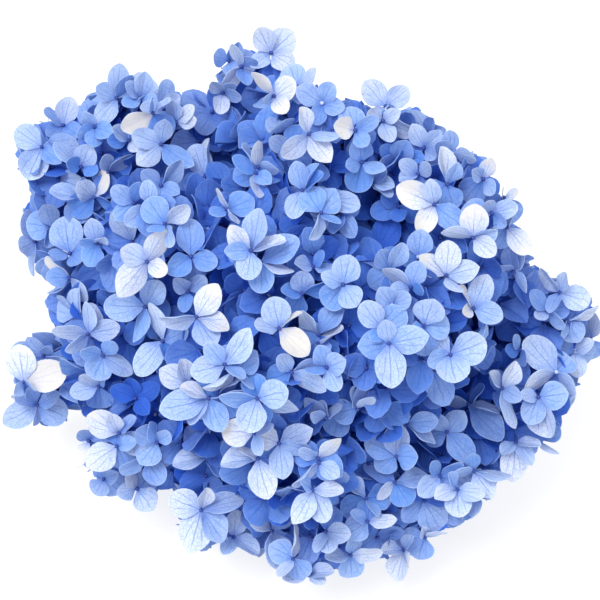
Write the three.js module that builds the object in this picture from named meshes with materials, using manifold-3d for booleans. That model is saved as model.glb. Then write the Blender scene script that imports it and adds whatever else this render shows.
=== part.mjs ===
// A cut mophead hydrangea head, preserved, lying on a surface.
// Millimetres, +Z up. The head's axis leans towards -Y; the cut stem leaves behind, towards +Y.
//
// The head is a dome of twenty-two sprays. Each spray is one solid: a small faceted core, and
// four-sepalled florets that stand on it on short stalks. The woody stem branches behind the
// dome into one ray for each spray, and each ray ends in a socket in that spray's core.
import * as THREE from "three";
import { mergeVertices } from "three/addons/utils/BufferGeometryUtils.js";
import Module from "manifold-3d";

// ---------------------------------------------------------------- driving dimensions
const TILT = THREE.MathUtils.degToRad(40); // the head's axis, from the vertical
const FLOOR = -84; // the surface, below the crown where the rays meet
const FLORETS = 134;
const SEPAL = 20.5; // floret centre to sepal tip, long pair
const SHORT_PAIR = 0.87; // the other pair of sepals, as a share of it
const THICK = 0.9; // sepal
const CLEAR = 0.2; // each side of the gap between neighbouring florets
const SINUS = 2.9; // floret centre to the notch between two sepals
const STALK_FOOT = 0.12; // a stalk ends in a point this share of the way out from the centre
const DEEPEST = -34; // no floret stands farther behind the crown than this
const CORE_SHARE = 0.7; // core radius as a share of the spray's
const CORE_TAPER = 0.75;
const SPRAY_GAP = 0.9; // between two cores
const SOCKET_GAP = 0.4; // round a ray in its socket
const RAY_R = 1.5;
const BRANCH_R = 2.3;
const STEM_R = 3.9;
const VIEW_DISTANCE = 900; // the outline below is the head seen along its axis from here

// Sprays in the head's own frame: across, up and out along its axis, then the radius.
const SPRAYS = [
  { name: "spray_01_top", at: [-14, 94, 2], r: 31, branch: "upper" },
  { name: "spray_02_upper", at: [9, 64, 35], r: 35, branch: "upper" },
  { name: "spray_03_top_right", at: [38, 83, 10], r: 23, branch: "upper" },
  { name: "spray_04_right_upper", at: [63, 36, 28], r: 38, branch: "right" },
  { name: "spray_05_right", at: [99, 2, -2], r: 33, branch: "right" },
  { name: "spray_06_right_lower", at: [92, -38, -4], r: 35, branch: "right" },
  { name: "spray_07_lower_right", at: [56, -74, 0], r: 36, branch: "lower" },
  { name: "spray_08_bottom", at: [14, -88, 7], r: 34, branch: "lower" },
  { name: "spray_09_bottom_left", at: [-38, -78, 0], r: 33, branch: "lower" },
  { name: "spray_10_left_lower", at: [-74, -57, -2], r: 29, branch: "left" },
  { name: "spray_11_left_stray", at: [-112, -33, -18], r: 20, branch: "left" },
  { name: "spray_12_left", at: [-82, -5, 9], r: 34, branch: "left" },
  { name: "spray_13_left_upper", at: [-97, 54, -4], r: 31, branch: "upper_left" },
  { name: "spray_14_upper_left", at: [-58, 70, 11], r: 35, branch: "upper_left" },
  { name: "spray_15_inner_left", at: [-54, 24, 36], r: 34, branch: "upper_left" },
  { name: "spray_16_inner_upper", at: [-11, 26, 47], r: 36, branch: "inner" },
  { name: "spray_17_inner", at: [-23, -23, 46], r: 37, branch: "inner" },
  { name: "spray_18_inner_right", at: [34, -10, 45], r: 40, branch: "inner" },
  { name: "spray_19_inner_low", at: [-5, -58, 32], r: 34, branch: "inner" },
  { name: "spray_20_valley_left", at: [-53, -40, 17], r: 27, branch: "left" },
  { name: "spray_21_valley_low", at: [29, -44, 24], r: 25, branch: "lower" },
  { name: "spray_22_valley_right", at: [36, 44, 20], r: 25, branch: "right" },
];

// The head's outline seen along its axis, clockwise from the upper left.
const OUTLINE = [
  [-37, 104], [-29, 110], [-26, 118], [-19, 121], [-11, 123], [-3, 123], [1, 117],
  [-1, 106], [3, 99], [14, 92], [26, 91], [27, 98], [36, 101], [47, 98], [50, 90],
  [58, 84], [68, 73], [79, 68], [85, 61], [89, 47], [97, 34], [103, 18], [114, 12],
  [126, 5], [131, -2], [128, -18], [125, -33], [121, -40], [112, -57], [106, -66],
  [90, -77], [76, -93], [60, -101], [52, -102], [48, -112], [43, -120], [38, -114],
  [29, -112], [18, -117], [0, -121], [-13, -112], [-31, -106], [-44, -108], [-53, -99],
  [-59, -81], [-67, -88], [-75, -84], [-88, -80], [-99, -67], [-92, -50], [-98, -44],
  [-103, -52], [-112, -55], [-118, -52], [-125, -54], [-132, -50], [-130, -42],
  [-125, -37], [-129, -27], [-128, -20], [-121, -14], [-112, -14], [-107, -18],
  [-104, -15], [-111, -6], [-112, 9], [-122, 22], [-123, 40], [-118, 52], [-124, 60],
  [-126, 71], [-123, 81], [-112, 81], [-106, 92], [-97, 87], [-90, 97], [-79, 106],
  [-66, 100], [-48, 94], [-38, 96],
];

// Florets whose place is read off the photograph: across and up, as seen along the axis.
const PLACED = [
  [-11, 116], [-24, 106], [38, 92], [-11, 92], [-60, 71], [-114, 70], [-91, 81], [-78, 95],
  [-110, 44], [-114, 26], [-72, 48], [-67, 19], [-21, 24], [4, 75], [20, 72], [60, 44],
  [76, 30], [64, 14], [90, 24], [112, 4], [121, -12], [103, -41], [88, -36], [76, -2],
  [66, -21], [39, -17], [64, -56], [41, -65], [42, -78], [69, -82], [46, -104], [23, -108],
  [-116, -45], [-121, -27], [-86, -22], [-59, -16], [-45, -5], [-34, -26], [-19, -40],
  [-39, -42], [-20, -56], [-9, -62], [-80, -56], [-63, -62], [-40, -67], [-43, -90],
  [8, -70], [5, -84], [12, -27], [94, -60], [-102, 4], [118, -26], [-8, -112],
];

// The stem's middle line from the crown to the cut end, in the lying part's frame.
const STEM_LINE = [
  [0, -6, 8], [0, 22, -26], [2, 46, -54], [4, 70, -74], [5, 98, -80.6], [5, 132, -80.6],
];

const SEPAL_BLUES = [0x8ea4dd, 0x98addf, 0x8499d6, 0xa3b6e6, 0x8b9fd9];
const STEM_BROWN = 0x8a7f63;

// ---------------------------------------------------------------- frame and random draws
const AXIS = new THREE.Vector3(0, -Math.sin(TILT), Math.cos(TILT));
const ACROSS = new THREE.Vector3(1, 0, 0);
const UPWARD = new THREE.Vector3(0, Math.cos(TILT), Math.sin(TILT));
const BACK = AXIS.clone().multiplyScalar(-30); // the sprays fan out from behind the crown

function fromHead(x, y, out) {
  return new THREE.Vector3()
    .addScaledVector(ACROSS, x)
    .addScaledVector(UPWARD, y)
    .addScaledVector(AXIS, out);
}

let seed = 20611;
function draw(low, high) {
  seed = (Math.imul(seed, 1664525) + 1013904223) >>> 0;
  return low + (high - low) * (seed / 4294967296);
}

const sprays = SPRAYS.map((spray) => ({ ...spray, centre: fromHead(...spray.at) }));
for (const spray of sprays) {
  spray.out = spray.centre.clone().sub(BACK).normalize();
  spray.core = CORE_SHARE * spray.r;
  for (const other of sprays) {
    if (other === spray) continue;
    const room = spray.centre.distanceTo(other.centre) - SPRAY_GAP;
    spray.core = Math.min(spray.core, (room * spray.r) / (spray.r + other.r));
  }
}

// ---------------------------------------------------------------- the outline as a limit
const toOutline = { x: 0, y: 0, scale: 1 };
function project(point) {
  toOutline.scale = VIEW_DISTANCE / (VIEW_DISTANCE - point.dot(AXIS));
  toOutline.x = point.dot(ACROSS) * toOutline.scale;
  toOutline.y = point.dot(UPWARD) * toOutline.scale;
  return toOutline;
}

// How far a point lies outside the outline as seen, and the nearest point on it.
function outsideBy(x, y) {
  let inside = false;
  let best = Infinity;
  const near = [0, 0];
  OUTLINE.forEach(([bx, by], i) => {
    const [ax, ay] = OUTLINE[(i + OUTLINE.length - 1) % OUTLINE.length];
    if (ay > y !== by > y && x < ((bx - ax) * (y - ay)) / (by - ay) + ax) inside = !inside;
    const length2 = (bx - ax) ** 2 + (by - ay) ** 2;
    const along = ((x - ax) * (bx - ax) + (y - ay) * (by - ay)) / length2;
    const t = Math.min(1, Math.max(0, along));
    const px = ax + (bx - ax) * t;
    const py = ay + (by - ay) * t;
    const gap = Math.hypot(x - px, y - py);
    if (gap < best) {
      best = gap;
      near[0] = px;
      near[1] = py;
    }
  });
  return { gap: inside ? -best : best, near };
}

// ---------------------------------------------------------------- where the florets stand
// Evenly spread points on the sprays' outer faces: each next one is the farthest from the rest.
function placeFlorets() {
  const spots = [];
  const golden = Math.PI * (3 - Math.sqrt(5));
  for (const spray of sprays) {
    for (let k = 0; k < 400; k += 1) {
      const z = 1 - (2 * k + 1) / 400;
      const ring = Math.sqrt(1 - z * z);
      const outward = new THREE.Vector3(
        ring * Math.cos(k * golden), ring * Math.sin(k * golden), z);
      const at = spray.centre.clone().addScaledVector(outward, spray.r);
      const hidden = sprays.some(
        (other) => other !== spray && at.distanceTo(other.centre) < other.r - 1.5);
      if (hidden || outward.dot(spray.out) < -0.12 || at.z < FLOOR + 3) continue;
      if (at.dot(AXIS) < DEEPEST) continue;
      const seen = { ...project(at) };
      if (outsideBy(seen.x, seen.y).gap > -1.5) continue;
      spots.push({ spray, outward, at, seen, far: Infinity });
    }
  }
  const chosen = [];
  const choose = (next) => {
    chosen.push(next);
    for (const spot of spots) spot.far = Math.min(spot.far, spot.at.distanceTo(next.at));
  };
  for (const [x, y] of PLACED) {
    const front = spots.filter((spot) => spot.outward.dot(AXIS) > -0.1);
    const miss = (spot) => Math.hypot(spot.seen.x - x, spot.seen.y - y);
    const nearest = front.reduce((a, b) => (miss(b) < miss(a) ? b : a));
    if (nearest.far > 0.75 * SEPAL) choose(nearest);
  }
  while (chosen.length < FLORETS) choose(spots.reduce((a, b) => (b.far > a.far ? b : a)));
  return chosen;
}

// ---------------------------------------------------------------- one floret
// The middle surface of a floret: its centre, four notches, and for each sepal an outline
// and one point on the rib. Sepals seen from the front have a fuller outline.
function layOut(spot) {
  const normal = spot.outward
    .clone()
    .addScaledVector(spot.spray.out, 0.2)
    .addScaledVector(AXIS, 0.3)
    .add(new THREE.Vector3(draw(-0.2, 0.2), draw(-0.2, 0.2), draw(-0.2, 0.2)))
    .normalize();
  const side = new THREE.Vector3(draw(-1, 1), draw(-1, 1), draw(-1, 1)).cross(normal).normalize();
  const other = normal.clone().cross(side);
  const full = normal.dot(AXIS) > 0.45;
  const points = [];
  const put = (radius, angle, lift) => {
    const p = spot.at
      .clone()
      .addScaledVector(side, radius * Math.cos(angle))
      .addScaledVector(other, radius * Math.sin(angle))
      .addScaledVector(normal, lift);
    points.push(p);
    return points.length - 1;
  };
  const size = SEPAL * draw(0.92, 1.08);
  const cup = draw(-0.16, 0.3);
  const turns = [0, 1, 2, 3].map((k) => k * (Math.PI / 2) + draw(-0.05, 0.05));
  const centre = put(0, 0, 0);
  const notches = turns.map((turn) => put(SINUS, turn - Math.PI / 4, 0));
  const sepals = turns.map((turn, k) => {
    const length = size * (k % 2 ? SHORT_PAIR : 1) * draw(0.95, 1.05);
    const bend = cup + draw(-0.1, 0.1);
    const twist = draw(-0.16, 0.16);
    const trough = draw(-0.11, 0.07) * length;
    const place = (along, across, extra = 0) => {
      const lift = length * (bend * along * along + twist * across) + extra;
      return put(Math.hypot(along, across) * length, turn + Math.atan2(across, along), lift);
    };
    const rib = place(0.6, 0, trough);
    if (!full) return { rib, edge: [place(0.56, -0.43), place(1.04, 0), place(0.56, 0.43)] };
    const edge = [
      place(0.45, -0.37), place(0.82, -0.41), place(1.04, draw(-0.05, 0.05)),
      place(0.82, 0.41), place(0.45, 0.37),
    ];
    return { rib, edge };
  });
  return { spot, normal, points, centre, notches, sepals };
}

// Triangles of the middle surface, with or without the ones round the centre.
function faces(floret, withCentre) {
  const list = [];
  floret.sepals.forEach(({ rib, edge }, k) => {
    const start = floret.notches[k];
    const end = floret.notches[(k + 1) % 4];
    const loop = withCentre ? [floret.centre, start, ...edge, end] : [start, ...edge, end];
    loop.forEach((p, i) => list.push([rib, p, loop[(i + 1) % loop.length]]));
  });
  return list;
}

// Sepals bend clear of the neighbouring florets, the cores, the surface and the outline,
// and keep their size as they do.
function bendClear(florets) {
  const margin = THICK / 2 + CLEAR;
  for (const floret of florets) {
    floret.walls = florets
      .filter((f) => f !== floret && f.spot.at.distanceTo(floret.spot.at) < 3.2 * SEPAL)
      .map((f) => {
        const away = f.spot.at.clone().sub(floret.spot.at).normalize();
        const middle = f.spot.at.clone().add(floret.spot.at).multiplyScalar(0.5);
        return { away, limit: away.dot(middle) - margin };
      });
    const seen = new Set();
    floret.ties = [];
    const tie = (a, b, give) => {
      const key = a < b ? `${a},${b}` : `${b},${a}`;
      if (a === b || seen.has(key)) return;
      seen.add(key);
      const rest = floret.points[a].distanceTo(floret.points[b]);
      floret.ties.push({ a, b, rest, give });
    };
    for (const [a, b, c] of faces(floret, true)) {
      tie(a, b, 0.5);
      tie(b, c, 0.5);
      tie(c, a, 0.5);
    }
    for (const { rib, edge } of floret.sepals) {
      const last = edge.length - 1;
      tie(edge[0], edge[last], 0.3);
      tie(edge[1], edge[last - 1], 0.3);
      edge.forEach((p) => tie(floret.centre, p, 0.12));
      tie(rib, floret.centre, 0.3);
    }
    for (let round = 0; round < 60; round += 1) {
      for (const { a, b, rest, give } of floret.ties) pull(floret.points, a, b, rest, give);
      floret.points.forEach((p) => keepOff(p, floret, margin));
    }
    for (let round = 0; round < 6; round += 1) {
      floret.points.forEach((p) => keepOff(p, floret, margin));
    }
  }
}

const step = new THREE.Vector3();
function pull(points, a, b, rest, give) {
  step.subVectors(points[b], points[a]);
  const length = step.length() || 1e-6;
  step.multiplyScalar((give * (length - rest)) / length);
  points[a].add(step);
  points[b].sub(step);
}

function keepOff(p, floret, margin) {
  const seen = project(p);
  const { gap, near } = outsideBy(seen.x, seen.y);
  if (gap > 0) {
    p.addScaledVector(ACROSS, (near[0] - seen.x) / seen.scale);
    p.addScaledVector(UPWARD, (near[1] - seen.y) / seen.scale);
  }
  for (const spray of sprays) {
    const own = spray === floret.spot.spray ? 1.5 : 2.5;
    const reach = spray.core + own;
    const apart = p.distanceTo(spray.centre);
    if (apart < reach) p.lerpVectors(spray.centre, p, reach / (apart || 1e-6));
  }
  for (const { away, limit } of floret.walls) {
    const past = away.dot(p) - limit;
    if (past > 0) p.addScaledVector(away, -past);
  }
  p.z = Math.max(p.z, FLOOR + margin - CLEAR - 0.12);
}

// ---------------------------------------------------------------- solids
const wasm = await Module();
wasm.setup();

function solid(positions, indices) {
  return new wasm.Manifold(
    new wasm.Mesh({
      numProp: 3,
      vertProperties: new Float32Array(positions),
      triVerts: new Uint32Array(indices),
    }),
  );
}

function solidOf(geometry) {
  geometry.deleteAttribute("normal");
  geometry.deleteAttribute("uv");
  const merged = mergeVertices(geometry, 1e-4);
  return solid(merged.attributes.position.array, merged.index.array);
}

function largest(body) {
  return body.decompose().reduce((a, b) => (b.volume() > a.volume() ? b : a));
}

// The floret as one closed body: both faces of the sepals, their rims, and the flaring stalk.
function floretSolid(floret) {
  const { points, notches, sepals, spot } = floret;
  const normals = points.map(() => new THREE.Vector3());
  const ab = new THREE.Vector3();
  const ac = new THREE.Vector3();
  for (const [a, b, c] of faces(floret, true)) {
    ab.subVectors(points[b], points[a]);
    ac.subVectors(points[c], points[a]);
    ab.cross(ac);
    for (const i of [a, b, c]) normals[i].add(ab);
  }
  const positions = [];
  const vertex = (p) => positions.push(p.x, p.y, p.z) / 3 - 1;
  const front = points.map((p, i) =>
    vertex(p.clone().addScaledVector(normals[i].normalize(), THICK / 2)));
  const rear = points.map((p, i) =>
    i === floret.centre ? -1 : vertex(p.clone().addScaledVector(normals[i], -THICK / 2)));
  const triangles = [];
  for (const [a, b, c] of faces(floret, true)) triangles.push(front[a], front[b], front[c]);
  for (const [a, b, c] of faces(floret, false)) triangles.push(rear[a], rear[c], rear[b]);
  sepals.forEach(({ edge }, k) => {
    const rim = [notches[k], ...edge, notches[(k + 1) % 4]];
    for (let i = 0; i + 1 < rim.length; i += 1) {
      const a = rim[i];
      const b = rim[i + 1];
      triangles.push(front[a], rear[a], rear[b], front[a], rear[b], front[b]);
    }
  });
  const foot = vertex(spot.spray.centre.clone().lerp(spot.at, STALK_FOOT));
  notches.forEach((n, k) => triangles.push(rear[notches[(k + 1) % 4]], rear[n], foot));
  return solid(positions, triangles);
}

// A faceted ball that narrows towards the crown, as a bunch of stalks does.
function coreSolid(spray) {
  const ball = new THREE.IcosahedronGeometry(spray.core, 0);
  ball.rotateX(draw(0, 3)).rotateZ(draw(0, 3));
  const corner = new THREE.Vector3();
  const places = ball.attributes.position;
  for (let i = 0; i < places.count; i += 1) {
    corner.fromBufferAttribute(places, i);
    const along = corner.dot(spray.out);
    const waist = along < 0 ? 1 + (CORE_TAPER * along) / spray.core : 1;
    corner.addScaledVector(spray.out, -along).multiplyScalar(waist);
    corner.addScaledVector(spray.out, along).add(spray.centre);
    places.setXYZ(i, corner.x, corner.y, corner.z);
  }
  return solidOf(ball);
}

// A straight stalk between two points, thicker or thinner at its far end.
function rod(from, to, r0, r1, sides) {
  const length = from.distanceTo(to);
  const shape = new THREE.CylinderGeometry(r1, r0, length, sides, 1);
  shape.translate(0, length / 2, 0);
  const turn = new THREE.Quaternion().setFromUnitVectors(
    new THREE.Vector3(0, 1, 0), to.clone().sub(from).normalize());
  shape.applyQuaternion(turn);
  shape.translate(...from.toArray());
  return solidOf(shape);
}

function stemSolid(extra) {
  const line = new THREE.CatmullRomCurve3(STEM_LINE.map((p) => new THREE.Vector3(...p)));
  const round = new THREE.Shape();
  round.absarc(0, 0, STEM_R + extra, 0, 2 * Math.PI);
  const main = new THREE.ExtrudeGeometry(round, {
    extrudePath: line, steps: 9, curveSegments: 4, bevelEnabled: false,
  });
  let body = solidOf(main);
  const crown = new THREE.Vector3(...STEM_LINE[0]);
  const knuckle = new THREE.IcosahedronGeometry(STEM_R * 1.5 + extra, 0);
  knuckle.translate(...crown.toArray());
  body = body.add(solidOf(knuckle));
  const names = [...new Set(sprays.map((spray) => spray.branch))];
  for (const name of names) {
    const members = sprays.filter((spray) => spray.branch === name);
    const fork = members
      .reduce((sum, spray) => sum.add(spray.centre), new THREE.Vector3())
      .multiplyScalar(0.38 / members.length)
      .addScaledVector(AXIS, 2);
    body = body.add(rod(crown, fork, BRANCH_R + 0.5 + extra, BRANCH_R + extra, 6));
    const joint = new THREE.OctahedronGeometry(BRANCH_R * 1.3 + extra, 0);
    joint.translate(...fork.toArray());
    body = body.add(solidOf(joint));
    for (const spray of members) {
      const tip = fork.clone().lerp(spray.centre, 1 - (0.25 * spray.core - extra)
        / fork.distanceTo(spray.centre));
      body = body.add(rod(fork, tip, RAY_R + extra, RAY_R * 0.85 + extra, 4));
    }
  }
  return body;
}

// ---------------------------------------------------------------- the part
function ground(lowest) {
  const block = new THREE.BoxGeometry(600, 600, 60);
  block.translate(0, 0, lowest - 30);
  return solidOf(block);
}

function meshOf(name, body, color, roughness) {
  const { vertProperties, triVerts } = body.getMesh();
  const geometry = new THREE.BufferGeometry();
  geometry.setAttribute("position", new THREE.BufferAttribute(vertProperties, 3));
  geometry.setIndex(new THREE.BufferAttribute(triVerts, 1));
  const material = new THREE.MeshStandardMaterial({ color, roughness, metalness: 0 });
  material.flatShading = true;
  const mesh = new THREE.Mesh(geometry, material);
  mesh.name = name;
  return mesh;
}

const florets = placeFlorets().map(layOut);
bendClear(florets);

const head = new THREE.Group();
const below = ground(FLOOR);
head.add(meshOf("stem", stemSolid(0).subtract(below), STEM_BROWN, 0.8));
const sockets = stemSolid(SOCKET_GAP);
sprays.forEach((spray, i) => {
  let body = coreSolid(spray);
  for (const floret of florets) {
    if (floret.spot.spray === spray) body = body.add(floretSolid(floret));
  }
  body = largest(body.subtract(sockets).subtract(below));
  head.add(meshOf(spray.name, body, SEPAL_BLUES[i % SEPAL_BLUES.length], 0.75));
});

// The origin is the middle of the part's footprint, on the surface.
const box = new THREE.Box3().setFromObject(head);
const middle = box.getCenter(new THREE.Vector3());
head.position.set(-middle.x, -middle.y, -FLOOR);

const part = new THREE.Group();
part.add(head);
export default part;
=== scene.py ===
import math
import random

import bmesh
import bpy
import numpy as np
from mathutils import Matrix, Vector
from mathutils.bvhtree import BVHTree


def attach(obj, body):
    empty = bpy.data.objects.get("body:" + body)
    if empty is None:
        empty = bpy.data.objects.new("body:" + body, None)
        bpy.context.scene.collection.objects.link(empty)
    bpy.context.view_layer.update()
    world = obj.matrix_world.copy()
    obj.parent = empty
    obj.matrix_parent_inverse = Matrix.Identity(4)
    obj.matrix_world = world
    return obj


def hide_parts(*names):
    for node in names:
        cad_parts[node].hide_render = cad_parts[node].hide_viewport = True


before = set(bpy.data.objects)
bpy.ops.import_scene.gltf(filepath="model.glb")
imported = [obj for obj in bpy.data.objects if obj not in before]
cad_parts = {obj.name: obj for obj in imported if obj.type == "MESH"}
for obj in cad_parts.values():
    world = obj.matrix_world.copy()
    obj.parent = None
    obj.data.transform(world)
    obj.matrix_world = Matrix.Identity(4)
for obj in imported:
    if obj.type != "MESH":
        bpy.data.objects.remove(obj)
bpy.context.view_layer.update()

# ---------------------------------------------------------------- the head's own frame
# Lengths are in millimetres until a mesh is made. The head leans 40 degrees from the vertical.
MM = 0.001
LEAN = math.radians(40)
AXIS = np.array([0.0, -math.sin(LEAN), math.cos(LEAN)])
ACROSS = np.array([1.0, 0.0, 0.0])
UPWARD = np.array([0.0, math.cos(LEAN), math.sin(LEAN)])
CROWN = np.array([-0.53, -8.98, 84.0])

# The camera looks along the axis; at the crown one pixel of the photograph is 0.44 mm.
VIEW_DISTANCE = 900.0
EYE = CROWN + VIEW_DISTANCE * AXIS
PIXEL = 0.44
PHOTO_SIDE = 600
HEAD_PIXEL = (300, 305)

# Each spray's middle, across, up and out along the axis from the crown, then its radius and
# the branch that it grows from.
SPRAYS = {
    "spray_01_top": ((-14, 94, 2), 31, "upper"),
    "spray_02_upper": ((9, 64, 35), 35, "upper"),
    "spray_03_top_right": ((38, 83, 10), 23, "upper"),
    "spray_04_right_upper": ((63, 36, 28), 38, "right"),
    "spray_05_right": ((99, 2, -2), 33, "right"),
    "spray_06_right_lower": ((92, -38, -4), 35, "right"),
    "spray_07_lower_right": ((56, -74, 0), 36, "lower"),
    "spray_08_bottom": ((14, -88, 7), 34, "lower"),
    "spray_09_bottom_left": ((-38, -78, 0), 33, "lower"),
    "spray_10_left_lower": ((-74, -57, -2), 29, "left"),
    "spray_11_left_stray": ((-112, -33, -18), 20, "left"),
    "spray_12_left": ((-82, -5, 9), 34, "left"),
    "spray_13_left_upper": ((-97, 54, -4), 31, "upper_left"),
    "spray_14_upper_left": ((-58, 70, 11), 35, "upper_left"),
    "spray_15_inner_left": ((-54, 24, 36), 34, "upper_left"),
    "spray_16_inner_upper": ((-11, 26, 47), 36, "inner"),
    "spray_17_inner": ((-23, -23, 46), 37, "inner"),
    "spray_18_inner_right": ((34, -10, 45), 40, "inner"),
    "spray_19_inner_low": ((-5, -58, 32), 34, "inner"),
    "spray_20_valley_left": ((-53, -40, 17), 27, "left"),
    "spray_21_valley_low": ((29, -44, 24), 25, "lower"),
    "spray_22_valley_right": ((36, 44, 20), 25, "right"),
}

# The head's outline seen along its axis, across and up from the crown. Single florets that
# stand out of it at the top are left out here, so that nothing fills in behind them.
OUTLINE = np.array([
    (-37, 104), (-28, 110), (-21, 111), (-12, 108), (-2, 105), (3, 99), (14, 92), (26, 90),
    (38, 88), (50, 87), (58, 84), (68, 73), (79, 68), (85, 61), (89, 47), (97, 34), (103, 18),
    (114, 12), (126, 5), (131, -2), (128, -18), (125, -33), (121, -40), (112, -57), (106, -66),
    (90, -77), (76, -93), (60, -101), (52, -102), (48, -112), (43, -120), (38, -114), (29, -112),
    (18, -117), (0, -121), (-13, -112), (-31, -106), (-44, -108), (-53, -99), (-59, -81),
    (-67, -88), (-75, -84), (-88, -80), (-99, -67), (-92, -50), (-98, -44), (-103, -52),
    (-112, -55), (-118, -52), (-125, -54), (-132, -50), (-130, -42), (-125, -37), (-129, -27),
    (-128, -20), (-121, -14), (-112, -14), (-107, -18), (-104, -15), (-111, -6), (-112, 9),
    (-122, 22), (-123, 40), (-118, 52), (-124, 60), (-126, 71), (-123, 81), (-112, 81),
    (-106, 92), (-97, 87), (-90, 97), (-79, 106), (-66, 100), (-48, 94), (-38, 96),
], dtype=float)

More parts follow.
